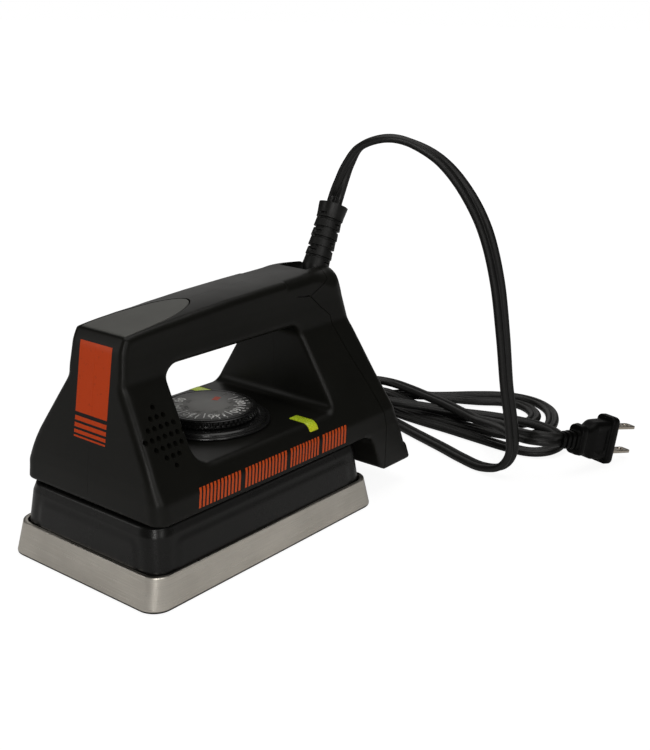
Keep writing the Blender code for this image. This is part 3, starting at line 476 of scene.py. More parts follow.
def strip_frames(route, facing):
    """Wide and thick directions along a route: carried without twist, then turned to face given ways."""
    count = len(route)
    tangents = [(route[min(k + 1, count - 1)] - route[max(k - 1, 0)]).normalized() for k in range(count)]
    carried = [tangents[0].orthogonal().normalized()]
    for k in range(1, count):
        turn = tangents[k - 1].rotation_difference(tangents[k])
        moved = turn @ carried[-1]
        carried.append((moved - tangents[k] * moved.dot(tangents[k])).normalized())
    places, angles = [], []
    for k, way in facing:
        flat = Vector(way) - tangents[k] * Vector(way).dot(tangents[k])
        angle = math.atan2(flat.dot(tangents[k].cross(carried[k])), flat.dot(carried[k]))
        if angles:
            angle += math.pi * round((angles[-1] - angle) / math.pi)
        places.append(k)
        angles.append(angle)
    frames = []
    for k, angle in enumerate(np.interp(range(count), places, angles)):
        thick = carried[k] * math.cos(angle) + tangents[k].cross(carried[k]) * math.sin(angle)
        frames.append((tangents[k].cross(thick), thick))
    return frames


def make_cord(material):
    start = BOOT_POINT + BOOT_DIRECTION * (BOOT_LENGTH + 0.3)
    tail_end = PLUG_FACE - PLUG_AXIS * (PLUG_LENGTH + 0.3)
    points = [start, start + BOOT_DIRECTION * 4] + ARCH + WINDINGS + TAIL
    points += [tail_end - PLUG_AXIS * 5, tail_end]
    pieces = 10
    route = smooth_route(points, pieces)
    first_tail = 2 + len(ARCH) + len(WINDINGS)
    # the flat side shows at the boot, turns up over the arch, shows again on the way down and lies flat below
    ways = (((0, 1), TOWARDS_LENS), ((4, 5, 6), (0, 0, 1)), ((9,), TOWARDS_LENS),
            ((12, 13), (0.93, -0.36, 0)), (range(16, first_tail - 1), (0, 0, -1)))
    facing = [(k * pieces, way) for places, way in ways for k in places]
    facing += [(k, PLUG_ACROSS) for k in (len(route) - 8, len(route) - 1)]
    section = cord_section()
    rings = [[place + wide * u + thick * v for u, v in section]
             for place, (wide, thick) in zip(route, strip_frames(route, facing))]
    # the ends reach a little way into the boot and the plug
    rings.insert(0, [p - BOOT_DIRECTION * 3 for p in rings[0]])
    rings.append([p + PLUG_AXIS * 3 for p in rings[-1]])
    cord = soften(loft("cord", rings, material), 50)
    place_piece(cord, "root", "cord_rubber", "power_cord", "cord_hank", "cord_tail")
    return cord, [list(p * MM) for p in route]


def make_boot(material):
    """Segmented strain relief: rings with windows, joined by webs that step round it."""
    sides, pitch, gap = 144, 4.6, 1.0
    heights = np.concatenate([[-9.0, -8.6, -4.0, 0.0], np.arange(0.3, 30.0, 0.2), [29.8, 29.95, 30.0]])
    angles = np.arange(sides) * math.tau / sides
    bend = Matrix.Rotation(-BOOT_LEAN, 3, "X")

    def step(value, soft=0.22):
        return np.clip(value / soft + 0.5, 0, 1)

    def opposite(at, half_width):
        """1 within two opposite sectors, 0 outside them."""
        away = [np.abs((angles - at - turn + math.pi) % math.tau - math.pi) for turn in (0, math.pi)]
        return step(half_width - np.minimum(*away), 0.06)

    def placed(radius, sag, s):
        return [BOOT_POINT + bend @ Vector((r * math.cos(a), r * math.sin(a) + sag, s))
                for r, a in zip(radius, angles)]

    rings = []
    for s in heights:
        within, quarter = s - pitch * (s // pitch), math.radians(90 * (s // pitch % 2))
        outer = 6.35 - 0.45 * (within / pitch if s < 23 else 0) + 0.6 * ease(s, 23.5, 30.5)
        groove = step(within - (pitch - gap)) * step(pitch + 0.09 - within) if 0 < s < 23.2 else 0.0
        window = step(0.65 - abs(within - (pitch - gap) / 2)) if 0 < s < 25 else 0.0
        hollow = np.maximum(0.7 * groove * (1 - opposite(quarter + math.pi / 4, 0.42)),
                            window * opposite(quarter, 0.30))
        radius = outer * (1 - hollow) + 4.75 * hollow if s >= 0 else np.full(sides, 4.8)
        rings.append(placed(radius, (0.066 / 30 - 0.0022) * s * s, s))
    rings.append(placed(np.full(sides, 3.4), 0.0, 30.0))
    boot = soften(loft("strain_relief_boot", rings, material), 38)
    return place_piece(boot, "root", "cord_rubber", "strain_relief")


def plug_point(across, up, along):
    return PLUG_FACE + PLUG_ACROSS * across + PLUG_UP * up + PLUG_AXIS * (along - PLUG_LENGTH)


def make_plug(material, metal):
    sections = [(0.0, 3.1, 3.7, 2.4), (0.3, 3.4, 4.0, 2.5)]
    for k in range(3):
        low, grow = 1.6 + 3.1 * k, 0.25 * k
        for rise, half_across, half_up, radius in ((0.0, 3.4, 4.0, 2.5), (0.12, 2.7, 3.2, 2.2),
                                                   (1.2, 2.7, 3.2, 2.2), (1.32, 3.5, 4.2, 2.5)):
            sections.append((low + rise, half_across + grow * 0.6, half_up + grow, radius))
    sections += [(10.6, 3.9, 5.0, 2.8), (11.0, 4.0, 5.2, 2.8), (11.15, 4.4, 6.8, 2.8),
                 (11.6, 4.7, 7.4, 2.8), (14.2, 4.8, 7.8, 2.8), (14.7, 4.6, 7.4, 2.8),
                 (14.85, 4.1, 6.5, 2.8), (17.6, 4.2, 6.9, 2.8), (19.2, 4.4, 8.2, 2.8),
                 (20.8, 4.6, 9.2, 2.7), (22.2, 4.7, 9.6, 2.5), (22.5, 4.71, 9.63, 2.5),
                 (22.8, 4.72, 9.66, 2.5), (26.0, 4.8, 9.8, 2.4), (29.9, 4.86, 9.9, 2.3),
                 (30.2, 4.87, 9.92, 2.3), (31.6, 4.9, 10.0, 2.2), (31.8, 5.3, 11.2, 2.3),
                 (32.2, 5.7, 12.0, 2.5), (32.7, 5.9, 12.2, 2.6), (35.6, 5.9, 12.2, 2.6),
                 (36.2, 5.65, 11.95, 2.5), (36.5, 5.3, 11.5, 2.3)]
    rings = []
    for along, half_across, half_up, radius in sections:
        sunk = PLUG_PANEL_DEPTH if 22.7 < along < 30.1 else 0.0
        rings.append([plug_point(a - math.copysign(sunk * ease(6.3 - abs(u), 0, 0.5), a), u, along)
                      for a, u, _ in rounded_rectangle(half_across, half_up, radius, steps=6, flats=14)])
    body = soften(loft("plug_moulding", rings, material), 40)
    place_piece(body, "root", "cord_rubber", "plug_body")
    blades = []
    half, reach, thickness, eye = 3.175, 17.0, 1.5, 1.6
    tip = smooth_outline([(-half, 0.0, 0), (half, 0.0, 0), (half, reach, 1.6), (-half, reach, 1.6)],
                         math.radians(15))
    hole = [(eye * math.cos(a), 11.9 + eye * math.sin(a)) for a in np.arange(28) * math.tau / 28]
    for level, side in (("lower", -1), ("upper", 1)):
        blade = plate(f"blade_{level}", [tip, hole], -thickness / 2, thickness / 2, 0.22, metal)
        for vertex in blade.data.vertices:
            u, v, w = vertex.co / MM
            vertex.co = plug_point(u, side * BLADE_SPACING / 2 + w, PLUG_LENGTH - 0.4 + v) * MM
        blades.append(place_piece(soften(seal(blade), 40), "root", "plated_steel", f"plug_blade_{level}"))
    return [body] + blades


def thicken(work, thickness):
    """The flat faces drawn up into a slab."""
    made = bmesh.ops.extrude_face_region(work, geom=list(work.faces))
    moved = [g for g in made["geom"] if isinstance(g, bmesh.types.BMVert)]
    bmesh.ops.translate(work, verts=moved, vec=(0, 0, thickness * MM))
    bmesh.ops.recalc_face_normals(work, faces=work.faces)


def plate(name, loops, low, high, bevel, material):
    """Flat plate with holes in its own XY plane, with its outer edges bevelled; in millimetres."""
    mesh = bpy.data.meshes.new(name)
    with editing(mesh) as work:
        edges = []
        for loop in loops:
            points = [work.verts.new((x * MM, y * MM, low * MM)) for x, y in loop]
            edges += [work.edges.new((a, b)) for a, b in zip(points, points[1:] + points[:1])]
        bmesh.ops.triangle_fill(work, use_beauty=True, use_dissolve=False, edges=edges)
        bmesh.ops.dissolve_limit(work, angle_limit=0.01, verts=work.verts, edges=work.edges)
        thicken(work, high - low)
        rims = [e for e in work.edges if len(e.link_faces) == 2 and e.calc_face_angle(0) > 1.0
                and abs((e.verts[0].co - e.verts[1].co).z) < 1e-7]
        bmesh.ops.bevel(work, geom=rims, offset=bevel * MM, segments=2, affect="EDGES", profile=0.5)
    return add_object(name, mesh, material)


# ---------------------------------------------------------------- housing
WALL, DECK, GRIP_UNDERSIDE = 2.4, 49.0, 85.3
SIDE_SCREWS = [(-50.0, 46.0, -26.0, 5.2), (-46.0, 93.0, -9.0, 4.8),
               (58.0, 90.0, -9.0, 4.8), (58.0, 46.0, -26.0, 5.2)]
COVER_SCREWS = [(-20.0, 46.0), (20.0, 46.0)]
COVER_SEAT = 85.0
SEAM_GAP = 0.02            # from the middle plane to each shell's edge
DIAL_Y = 5.4

SIDE_VIEW = [(-63.4, -6, 0), (107, -6, 0), (105, 12.0, 0), (101.2, 20.0, 0.6), (99.2, 21.0, 0.6),
             (96.2, 28.0, None), (92.2, 36.0, None), (90.6, 41.0, None), (88.4, 52.0, None),
             (86.0, 81.0, None), (85.3, 91.0, None), (83.5, 98.5, None), (81.0, 104.0, None),
             (77.0, 107.0, None), (69.0, 107.6, None), (45.0, 107.0, None), (17.0, 106.3, None),
             (-6.0, 105.2, None), (-25.0, 103.9, None), (-40.0, 102.4, None), (-52.4, 100.7, 0.9),
             (-54.7, 96.4, None), (-59.0, 68.1, None), (-61.5, 52.2, None), (-62.6, 42.0, None),
             (-63.0, 20.0, 0)]
FRONT_VIEW = [(-20, -6, 0), (40.2, -6, 0), (40.2, 5.0, 0), (41.0, 28.0, 20), (41.0, 34.0, 3),
              (40.1, 41.6, 6), (33.4, 55.1, 60), (23.7, 70.6, 60), (16.6, 81.8, 6), (15.4, 95.0, 60),
              (15.2, 104.0, 0), (15.0, 128.0, 0), (-20, 128, 0)]
UNDER_VIEW = [(-80, 33.0, 0), (65.0, 33.0, 3), (69.4, 31.4, 2), (72.1, 27.4, 2), (78.0, 14.6, 2),
              (82.0, 12.0, 1), (120, 12.0, 0), (120, 140, 0), (-80, 140, 0)]
OPENING = [(-37.3, DECK, 7), (48.0, DECK, 4), (48.0, GRIP_UNDERSIDE, 6), (-32.8, GRIP_UNDERSIDE, 7)]
SEAM = [(130.0, 112.0), (69.0, 112.0), (69.0, 103.0), (55.5, 97.2), (62.1, 91.3), (68.6, 86.3),
        (69.9, 81.7), (72.5, 67.5), (76.9, 51.6), (80.3, 40.6), (81.2, 34.3), (81.8, 5.0), (130.0, 5.0)]

SIDE = Table(smooth_outline(SIDE_VIEW), (-66, 0), (109, 116))
FRONT = Table(smooth_outline(FRONT_VIEW), (-2, 0), (45, 118))
UNDER = Table(smooth_outline(UNDER_VIEW), (-66, 0), (109, 60))
WINDOW = Table(smooth_outline(OPENING), (-50, 38), (60, 97))


def crown(x, y, z):
    """How far the handle's top falls towards its sides."""
    return 1.1 * (x / 15.0) ** 2 * ease(z, 88, 100) * ease(y, -51, -20) * (1 - ease(y, 52, 66))


def corner_radius(y, z):
    radius = 4.0 + 2.0 * (1 - ease(z, 36, 52)) * (y < 0) - 1.4 * ease(z, 78, 86) * (y < 40)
    return radius + ease(y, 56, 74) * (2.0 * ease(z, 42, 60) + 4.0 * ease(z, 76, 94))


def housing_body(x, y, z):
    return rounded_both(SIDE(y, z + crown(x, y, z)), FRONT(x, z), corner_radius(y, z))


def housing_outside(x, y, z):
    x = np.abs(x)
    body = rounded_both(housing_body(x, y, z), -WINDOW(y, z), 2.1 + 0.7 * ease(z, 52, 60))
    return rounded_both(body, UNDER(y, z), 0.9)


def housing_hollow(x, y, z):
    """The space inside: clear of the walls, the screw bosses and the ribs that hold the cord's clamp."""
    x = np.abs(x)
    hollow = housing_body(x, y, z) + WALL
    hollow = np.maximum(hollow, WALL - WINDOW(y, z))
    below = np.maximum.reduce([x - 38.4, -60.0 - y, y - 61.0, z - 40.0])
    hollow = np.maximum(hollow, np.minimum(UNDER(y, z) + WALL, below))
    for screw_y, screw_z, _, radius in SIDE_SCREWS:
        hollow = np.maximum(hollow, radius - np.hypot(y - screw_y, z - screw_z))
    for rib in ([7.6 - x, 66.6 - y, 90.0 - z], [66.6 - y, y - 69.4, 90.0 - z], [58.6 - y, 101.2 - z]):
        hollow = np.maximum(hollow, -np.maximum.reduce([x - 10.4] + rib))
    screw_x, screw_z = COVER_SCREWS[1]
    hollow = np.maximum(hollow, np.minimum(4.6 - np.hypot(x - screw_x, z - screw_z), y - 56.0))
    return np.maximum(hollow, 9.3 - z)


def solid_from(name, field, low, high, cell):
    """Closed half of a symmetric solid, from x = 0 outwards."""
    axes = [np.arange(low[k], high[k] + cell, cell) for k in range(3)]
    samples = field(*np.meshgrid(*axes, indexing="ij"))
    vertices, faces = surface_net(samples, np.array(low, float), cell)
    return mesh_from(name, onto_surface(field, vertices), faces)


def cut_at(mesh, name, place):
    """Object with everything below x = place cut off and the cut closed."""
    made = mesh.copy()
    with editing(made) as work:
        bmesh.ops.bisect_plane(work, geom=work.verts[:] + work.edges[:] + work.faces[:],
                               plane_co=(place * MM, 0, 0), plane_no=(1, 0, 0), clear_inner=True,
                               dist=0.12 * MM, use_snap_center=True)
        on_plane = [v for v in work.verts if abs(v.co.x - place * MM) < 1e-7]
        bmesh.ops.remove_doubles(work, verts=on_plane, dist=0.05 * MM)
        rim = [e for e in work.edges if e.is_boundary]
        bmesh.ops.triangle_fill(work, use_beauty=True, use_dissolve=False, edges=rim)
        bmesh.ops.recalc_face_normals(work, faces=work.faces)
    return add_object(name, made)


def mirrored(obj, name):
    copy = add_object(name, obj.data.copy())
    copy.data.transform(Matrix.Scale(-1, 4, (1, 0, 0)))
    copy.data.flip_normals()
    return copy


def rod(name, start, end, radius, sides):
    start, end = Vector(start), Vector(end)
    axis = (end - start).normalized()
    across = axis.orthogonal().normalized()
    up = axis.cross(across)
    rings = [[place + (across * math.cos(a) + up * math.sin(a)) * radius
              for a in np.arange(sides) * math.tau / sides] for place in (start, end)]
    return loft(name, rings)


def box(name, low, high):
    ring = [(low[0], low[1]), (high[0], low[1]), (high[0], high[1]), (low[0], high[1])]
    return prism(name, ring, low[2], high[2], 2)


PAD_FRONT, PAD_REAR, PAD_HALF_WIDTH, PAD_THICKNESS = -50.9, -6.3, 12.6, 1.2


def pad_outline(grow):
    """Thumb pad from above: straight front edge, sides closing to a round tip."""
    steps, half_length, middle = 28, (PAD_REAR - PAD_FRONT) / 2, (PAD_FRONT + PAD_REAR) / 2
    right = [(x, PAD_FRONT) for x in np.linspace(0, PAD_HALF_WIDTH, 10)[:-1]]
    for t in (math.sin(math.pi / 2 * k / steps) for k in range(steps + 1)):
        right.append((PAD_HALF_WIDTH * (1 - t ** 2.6) ** 0.57, PAD_FRONT + t * (PAD_REAR - PAD_FRONT)))
    points = right + [(-x, y) for x, y in reversed(right[1:-1])]
    wide, long = (PAD_HALF_WIDTH + grow) / PAD_HALF_WIDTH, (half_length + grow) / half_length
    return np.array([(x * wide, middle + (y - middle) * long) for x, y in points])


def top_height(x, y):
    """Height of the handle's outer surface above a point."""
    low, high = np.full(x.shape, 92.0), np.full(x.shape, 110.0)
    for _ in range(26):
        middle = (low + high) / 2
        inside = housing_outside(x, y, middle) < 0
        low, high = np.where(inside, middle, low), np.where(inside, high, middle)
    return (low + high) / 2


def pad_ring(grow, depth):
    outline = pad_outline(grow)
    return np.column_stack([outline, top_height(*outline.T) - depth])


def make_thumb_pad(material):
    inner = (-11.8, -9.5, -7.0, -4.5, -2.5, -1.2)
    rings = [pad_ring(g, PAD_THICKNESS) for g in inner] + [pad_ring(0, PAD_THICKNESS), pad_ring(0, 0.3)]
    rings += [pad_ring(-0.12, 0.08), pad_ring(-0.35, -0.02)] + [pad_ring(g, -0.05) for g in reversed(inner)]
    pad = soften(loft("thumb_inlay", rings, material), 50)
    return place_piece(pad, "root", "pad_rubber", "thumb_pad")


def pad_recess():
    floor = [pad_ring(g, PAD_THICKNESS + 0.3) for g in (-11.5, -8.0, -4.0, -1.0, 0.7)]
    lid = pad_outline(0.7)
    top = np.column_stack([lid, np.full(len(lid), 113.0)])
    return loft("pad_recess", floor + [top])


LENS_Y = (28.9, 34.5)
LENS_MIDDLE = sum(LENS_Y) / 2
LENS_START, LENS_CORNER = 25.9, (34.4, 45.6)          # x of its inner end, (x, z) its bend turns about
LENS_LEVELS = (0.12, -2.0)                            # its faces, above the housing's surface


def surface_point(start, way, level):
    """Where a ray in the plane y = LENS_MIDDLE leaves the housing's offset surface, (x, z)."""
    near, far = 0.0, 12.0
    for _ in range(24):
        middle = (near + far) / 2
        x, z = (np.array(start[k] + way[k] * middle) for k in (0, 1))
        near, far = (middle, far) if housing_outside(x, np.array(LENS_MIDDLE), z) < level else (near, middle)
    return start[0] + way[0] * near, start[1] + way[1] * near


def lens_view():
    """The strip on the deck that bends down over its edge, (x, z) counter-clockwise."""
    rays = [((x, LENS_CORNER[1]), (0, 1)) for x in np.linspace(LENS_START, LENS_CORNER[0], 6)]
    rays += [(LENS_CORNER, (math.sin(a), math.cos(a))) for a in np.linspace(0.1, math.pi / 2, 12)]
    outside, inside = ([surface_point(start, way, level) for start, way in rays] for level in LENS_LEVELS)
    return np.array(inside + outside[::-1])


def grown(outline, distance):
    """Outline pushed outwards along its own corners' bisectors."""
    back = outline - np.roll(outline, 1, axis=0)
    ahead = np.roll(outline, -1, axis=0) - outline
    normals = []
    for side in (back, ahead):
        side = side / np.maximum(np.linalg.norm(side, axis=1, keepdims=True), 1e-9)
        normals.append(np.stack([side[:, 1], -side[:, 0]], 1))
    middle = normals[0] + normals[1]
    area = np.sum(outline[:, 0] * np.roll(outline[:, 1], -1) - np.roll(outline[:, 0], -1) * outline[:, 1])
    share = distance * 2 / np.maximum((middle ** 2).sum(1, keepdims=True), 0.5)
    return outline + math.copysign(1, area) * middle * share


VENT_MIDDLE, VENT_PITCH, VENT_RADIUS = (-46.7, 63.2), (3.28, 3.43), 1.05     # y and z
VENT_REACH = 3            # rows on each side of the middle one
HEAD_BORE = 3.4


def housing_cutters():
    """Tools for the vents, the openings for dial, cord, pad and lens, the screws and the grip groove."""
    cutters = []
    for row in range(-VENT_REACH, VENT_REACH + 1):
        for column in range(abs(row) - VENT_REACH, VENT_REACH + 1 - abs(row)):
            y, z = (middle + k * pitch for middle, k, pitch in zip(VENT_MIDDLE, (column, row), VENT_PITCH))
            cutters.append(rod("vent", (12, y, z), (46, y, z), VENT_RADIUS, 20))
    cutters.append(rod("dial_hole", (0, DIAL_Y, 40), (0, DIAL_Y, 52), 6, 40))
    slot = [(69, 98), (100, 98), (100, 115), (61, 115), (61, 103.6), (69, 103.6)]
    cutters += [prism("cord_slot", slot, -8, 8, 0), pad_recess()]
    cutters.append(prism("lens_slot", grown(lens_view(), 0.3), LENS_Y[0] - 0.35, LENS_Y[1] + 0.35, 1))
    cutters += [rod("bore", (-2, y, z), (12, y, z), 1.85, 16) for y, z, *_ in SIDE_SCREWS]
    x, z = COVER_SCREWS[1]
    cutters.append(rod("cover_bore", (x, 64, z), (x, COVER_SEAT + 0.5, z), 1.85, 20))
    groove = [(46.8, 98.9), (55.2, 97.75), (55.2, 97.05), (46.8, 98.2)]
    cutters.append(prism("groove", groove, 14.6, 30, 0))
    return cutters


def make_housing(material):
    cell = 0.9
    outside = solid_from("outside", housing_outside, (-1.9, -66, 8), (43, 108, 110), cell)
    hollow = cut_at(solid_from("hollow", housing_hollow, (-4.0, -64, 8), (43, 106, 110), 1.6), "hollow", -1.0)
    whole = cut_at(outside, "whole", 0.0)
    carve(whole, hollow)
    carve(whole, joined("cutters", housing_cutters()))
    x, z = COVER_SCREWS[1]

    region = grown(np.array(SEAM[::-1]), -0.35)
    cover = add_object("cover_half", whole.data.copy())
    carve(cover, prism("cover_region", region, -5, 60, 0), "INTERSECT")
    carve(cover, rod("head_bore", (x, COVER_SEAT, z), (x, 100, z), HEAD_BORE, 28))
    carve(whole, prism("behind_seam", SEAM[::-1], -5, 60, 0))
    right = cut_at(whole.data, "housing_shell_right", SEAM_GAP)
    heads = [rod("head_bore", (50, y, z), (-seat, y, z), HEAD_BORE, 28) for y, z, seat, _ in SIDE_SCREWS]
    shanks = [rod("shank_bore", (0.5 - seat, y, z), (-2, y, z), 2.05, 18) for y, z, seat, _ in SIDE_SCREWS]
    for bores in (heads, shanks):
        carve(whole, joined("bores", bores))
    bored = cut_at(whole.data, "bored_half", SEAM_GAP)
    left = mirrored(bored, "housing_shell_left")
    for spare in (whole, bored):
        bpy.data.objects.remove(spare, do_unlink=True)

    rear = open_at_middle(cover)
    for obj, node in ((left, "housing_left"), (right, "housing_right"), (rear, "rear_cover")):
        obj.data.materials.clear()
        obj.data.materials.append(material.material)
        soften(seal(obj), 35)
        place_piece(obj, "root", "housing_plastic", node)


def open_at_middle(half):
    """A half with its cut face at x = 0 taken away, joined to its mirror image."""
    mesh = half.data
    with editing(mesh) as work:
        for vertex in work.verts:
            if abs(vertex.co.x) < 2e-6:
                vertex.co.x = 0.0
        flat = [f for f in work.faces if all(v.co.x == 0.0 for v in f.verts)]
        bmesh.ops.delete(work, geom=flat, context="FACES")
        geom = work.verts[:] + work.edges[:] + work.faces[:]
        bmesh.ops.mirror(work, geom=geom, axis="X", merge_dist=2e-6)
    bpy.data.objects.remove(half, do_unlink=True)
    return add_object("rear_housing_cover", mesh)


def make_lenses(material):
    outline, (low, high) = lens_view(), LENS_Y
    edge = ((-0.35, 0.0), (-0.1, 0.1), (0, 0.35))
    places = [(shrink, low + step) for shrink, step in edge]
    places += [(shrink, high - step) for shrink, step in edge[::-1]]
    for name, side in (("left", -1), ("right", 1)):
        rings = [np.insert(grown(outline, shrink) * (side, 1), 1, y, axis=1) for shrink, y in places]
        lens = soften(loft(f"lens_{name}", rings, material), 40)
        place_piece(lens, "root", "lens_plastic", f"indicator_lens_{name}")


# ---------------------------------------------------------------- sole and heat shield
def make_sole(material):
    levels = [(0.0, -1.1, 7.3), (0.1, -0.75, 7.6), (0.35, -0.35, 8.0), (0.6, -0.12, 8.2), (0.95, -0.03, 8.3),
              (1.4, 0.0, 8.3)]
    for k in range(1, 24):
        z = 1.4 + (13.4 - 1.4) * k / 24
        levels.append((z, -1.4 * (z - 1.3) / 12.9, 8.3 - 0.3 * (z - 1.3) / 12.9))
    levels += [(13.5, -1.32, 8.0), (13.9, -1.36, 8.0), (14.1, -1.45, 7.9), (14.2, -1.62, 7.8)]
    rings = []
    for z, inset_by, radius in levels:
        long_inset = inset_by * (3.0 / 1.4) if z > 1.4 else inset_by
        rings.append(rounded_rectangle(44.5 + inset_by, 70.0 + long_inset, radius, z, flats=24))
    for z, half_x, half_y, radius in ((14.2, 41.75, 65.65, 7.6), (14.0, 41.6, 65.5, 7.5),
                                      (7.0, 41.6, 65.5, 7.5)):
        rings.append(rounded_rectangle(half_x, half_y, radius, z, flats=24))
    sole = soften(loft("sole", rings, material), 28)
    return place_piece(sole, "root", "sole_metal", "sole_plate")


SHIELD_LEVELS = [(9.0, 41.2, 65.1, 7.6), (14.2, 41.1, 65.0, 8.0), (28.0, 39.6, 64.0, 9.2),
                 (30.8, 38.8, 63.2, 9.2)]


def pressed_panel(along, z, half_length):
    """Height of the broad raised panel pressed into each side."""
    low, high, radius = 6.0, 27.2, 5.0
    du = np.abs(along) - (half_length - radius)
    dv = np.abs(z - (low + high) / 2) - ((high - low) / 2 - radius)
    distance = np.hypot(np.maximum(du, 0), np.maximum(dv, 0)) + np.minimum(np.maximum(du, dv), 0) - radius
    return 0.42 * ease(-distance, 0.0, 3.6)


def make_shield(material):
    heights = np.concatenate([np.arange(9.0, 28.0, 0.45), [28.0, 28.8, 29.6, 30.3, 30.8]])
    table = np.array(SHIELD_LEVELS)
    rings = []

    def level(z):
        return [np.interp(z, table[:, 0], table[:, k]) for k in (1, 2, 3)]

    def ring_on(half_x, half_y, radius, z):
        return rounded_rectangle(half_x, half_y, radius, z, flats=90)

    for z in heights:
        half_x, half_y, radius = level(z)
        ring = ring_on(half_x, half_y, radius, z)
        x, y = ring[:, 0], ring[:, 1]
        on_side, on_end = np.abs(x) > half_x - 0.01, np.abs(y) > half_y - 0.01
        ring[:, 0] += np.where(on_side, np.sign(x) * pressed_panel(y, z, half_y - 9.6), 0)
        ring[:, 1] += np.where(on_end, np.sign(y) * pressed_panel(x, z, half_x - 9.6), 0)
        rings.append(ring)
    for a in np.linspace(0, math.pi / 2, 7)[1:]:
        rise, run = 1.2 * math.sin(a), 1.8 * (1 - math.cos(a))
        rings.append(ring_on(38.8 - run, 63.2 - run, 9.2 - 0.5 * run, 30.8 + rise))
    rings += [ring_on(20, 40, 5, z) for z in (32.0, 31.0)]
    for z in (31.0, 29.8, 28.0, 14.2, 9.0):
        half_x, half_y, radius = level(z)
        rings.append(ring_on(half_x - 1.0, half_y - 1.0, radius - 0.9, z))
    shield = loft("pressed_shield", rings, material, closed_ends=False)
    with editing(shield.data) as work:
        rim = [e for e in work.edges if e.is_boundary and max(v.co.z for v in e.verts) < 9.1 * MM]
        bmesh.ops.bridge_loops(work, edges=rim)
        bmesh.ops.recalc_face_normals(work, faces=work.faces)
    return place_piece(soften(shield, 30), "root", "cover_enamel", "heat_shield")


# ---------------------------------------------------------------- dial
DIAL_TOP, DIAL_BOTTOM = 55.6, 51.9
PRINT_SUNK, PRINT_PROUD = 0.05, 0.03          # of the print on the scale disc


def make_collar(material):
    corners = [(23.0, 49.3, 0), (27.3, 49.3, 0.25), (26.9, 50.2, 0.4), (25.6, 50.2, 0.2),
               (25.5, 51.0, 0.3), (24.7, 51.6, 0.35), (22.4, 51.6, 0.3), (22.0, 51.3, 0.2), (6.2, 51.3, 0.2),
               (6.2, 49.3, 0)]
    profile = smooth_outline(corners, math.radians(15))
    collar = turned("dial_surround", profile, (0, DIAL_Y), material, 160, closed=True)
    return place_piece(soften(collar, 35), "root", "dial_plastic", "dial_collar")


def make_knob(material):
    """Flat knob with a cut grip round its side."""
    sides, teeth = 560, 56
    angles = np.arange(sides) * math.tau / sides
    profile = [(3.35, 53.6), (3.35, DIAL_BOTTOM), (20.3, DIAL_BOTTOM)]
    for z in np.linspace(52.0, 54.95, 20):
        across = (angles / math.tau * teeth + 0.5 * (z > 53.5)) % 1.0
        tooth = ease(0.5 - np.abs(across - 0.5), 0.1, 0.3)
        fade = ease(z, 51.95, 52.2) * (1 - ease(z, 54.8, 54.95))
        split = 1 - 0.9 * math.exp(-((z - 53.5) / 0.16) ** 2)
        profile.append((20.2 + 1.0 * tooth * fade * split, z))
    profile += [(20.9, 54.98), (21.1, 55.02), (21.2, 55.08), (21.1, 55.2), (20.4, 55.46), (19.95, 55.57),
                (19.7, 55.6), (19.3, 55.6), (19.2, 55.5), (19.2, 54.7)]
    rings = [ring_at(radius, z, angles, (0, DIAL_Y)) for radius, z in profile]
    return place_piece(soften(loft("knob", rings, material), 32), "dial", "dial_plastic", "dial_knob")


def figure(text, size, angle, radius):
    """Outline of a short number on the dial face, its top outwards."""
    curve = bpy.data.curves.new("figure", "FONT")
    curve.body, curve.size = text, size * MM
    curve.align_x, curve.align_y = "CENTER", "CENTER"
    curve.resolution_u, curve.offset = 3, 0.14 * MM
    holder = bpy.data.objects.new("figure", curve)
    bpy.context.scene.collection.objects.link(holder)
    mesh = evaluated_mesh(holder)
    bpy.data.objects.remove(holder, do_unlink=True)
    place = Vector((radius * math.cos(angle), DIAL_Y + radius * math.sin(angle), 0)) * MM
    mesh.transform(Matrix.Translation(place) @ Matrix.Rotation(angle - math.pi / 2, 4, "Z"))
    return mesh


def raised(name, meshes, bottom, top, material):
    """Flat meshes in the XY plane turned into thin raised print."""
    made = bpy.data.meshes.new(name)
    with editing(made) as work:
        for mesh in meshes:
            work.from_mesh(mesh)
            bpy.data.meshes.remove(mesh)
        bmesh.ops.remove_doubles(work, verts=work.verts, dist=1e-7)
        for vertex in work.verts:
            vertex.co.z = bottom * MM
        thicken(work, top - bottom)
    return add_object(name, made, material)


def bar(angle, inner, outer, width):
    """Flat radial bar on the dial face."""
    turn, middle = Matrix.Rotation(math.radians(angle), 3, "Z"), Vector((0, DIAL_Y, 0))
    corners = [middle + turn @ Vector((radius, side * width / 2, 0)) for radius, side in
               ((inner, -1), (outer, -1), (outer, 1), (inner, 1))]
    return mesh_from("bar", corners, [(0, 1, 2, 3)])


DIAL_ANGLES = (-120, -75, -30, 15, 60, 195)          # of the numbers, anticlockwise from +x


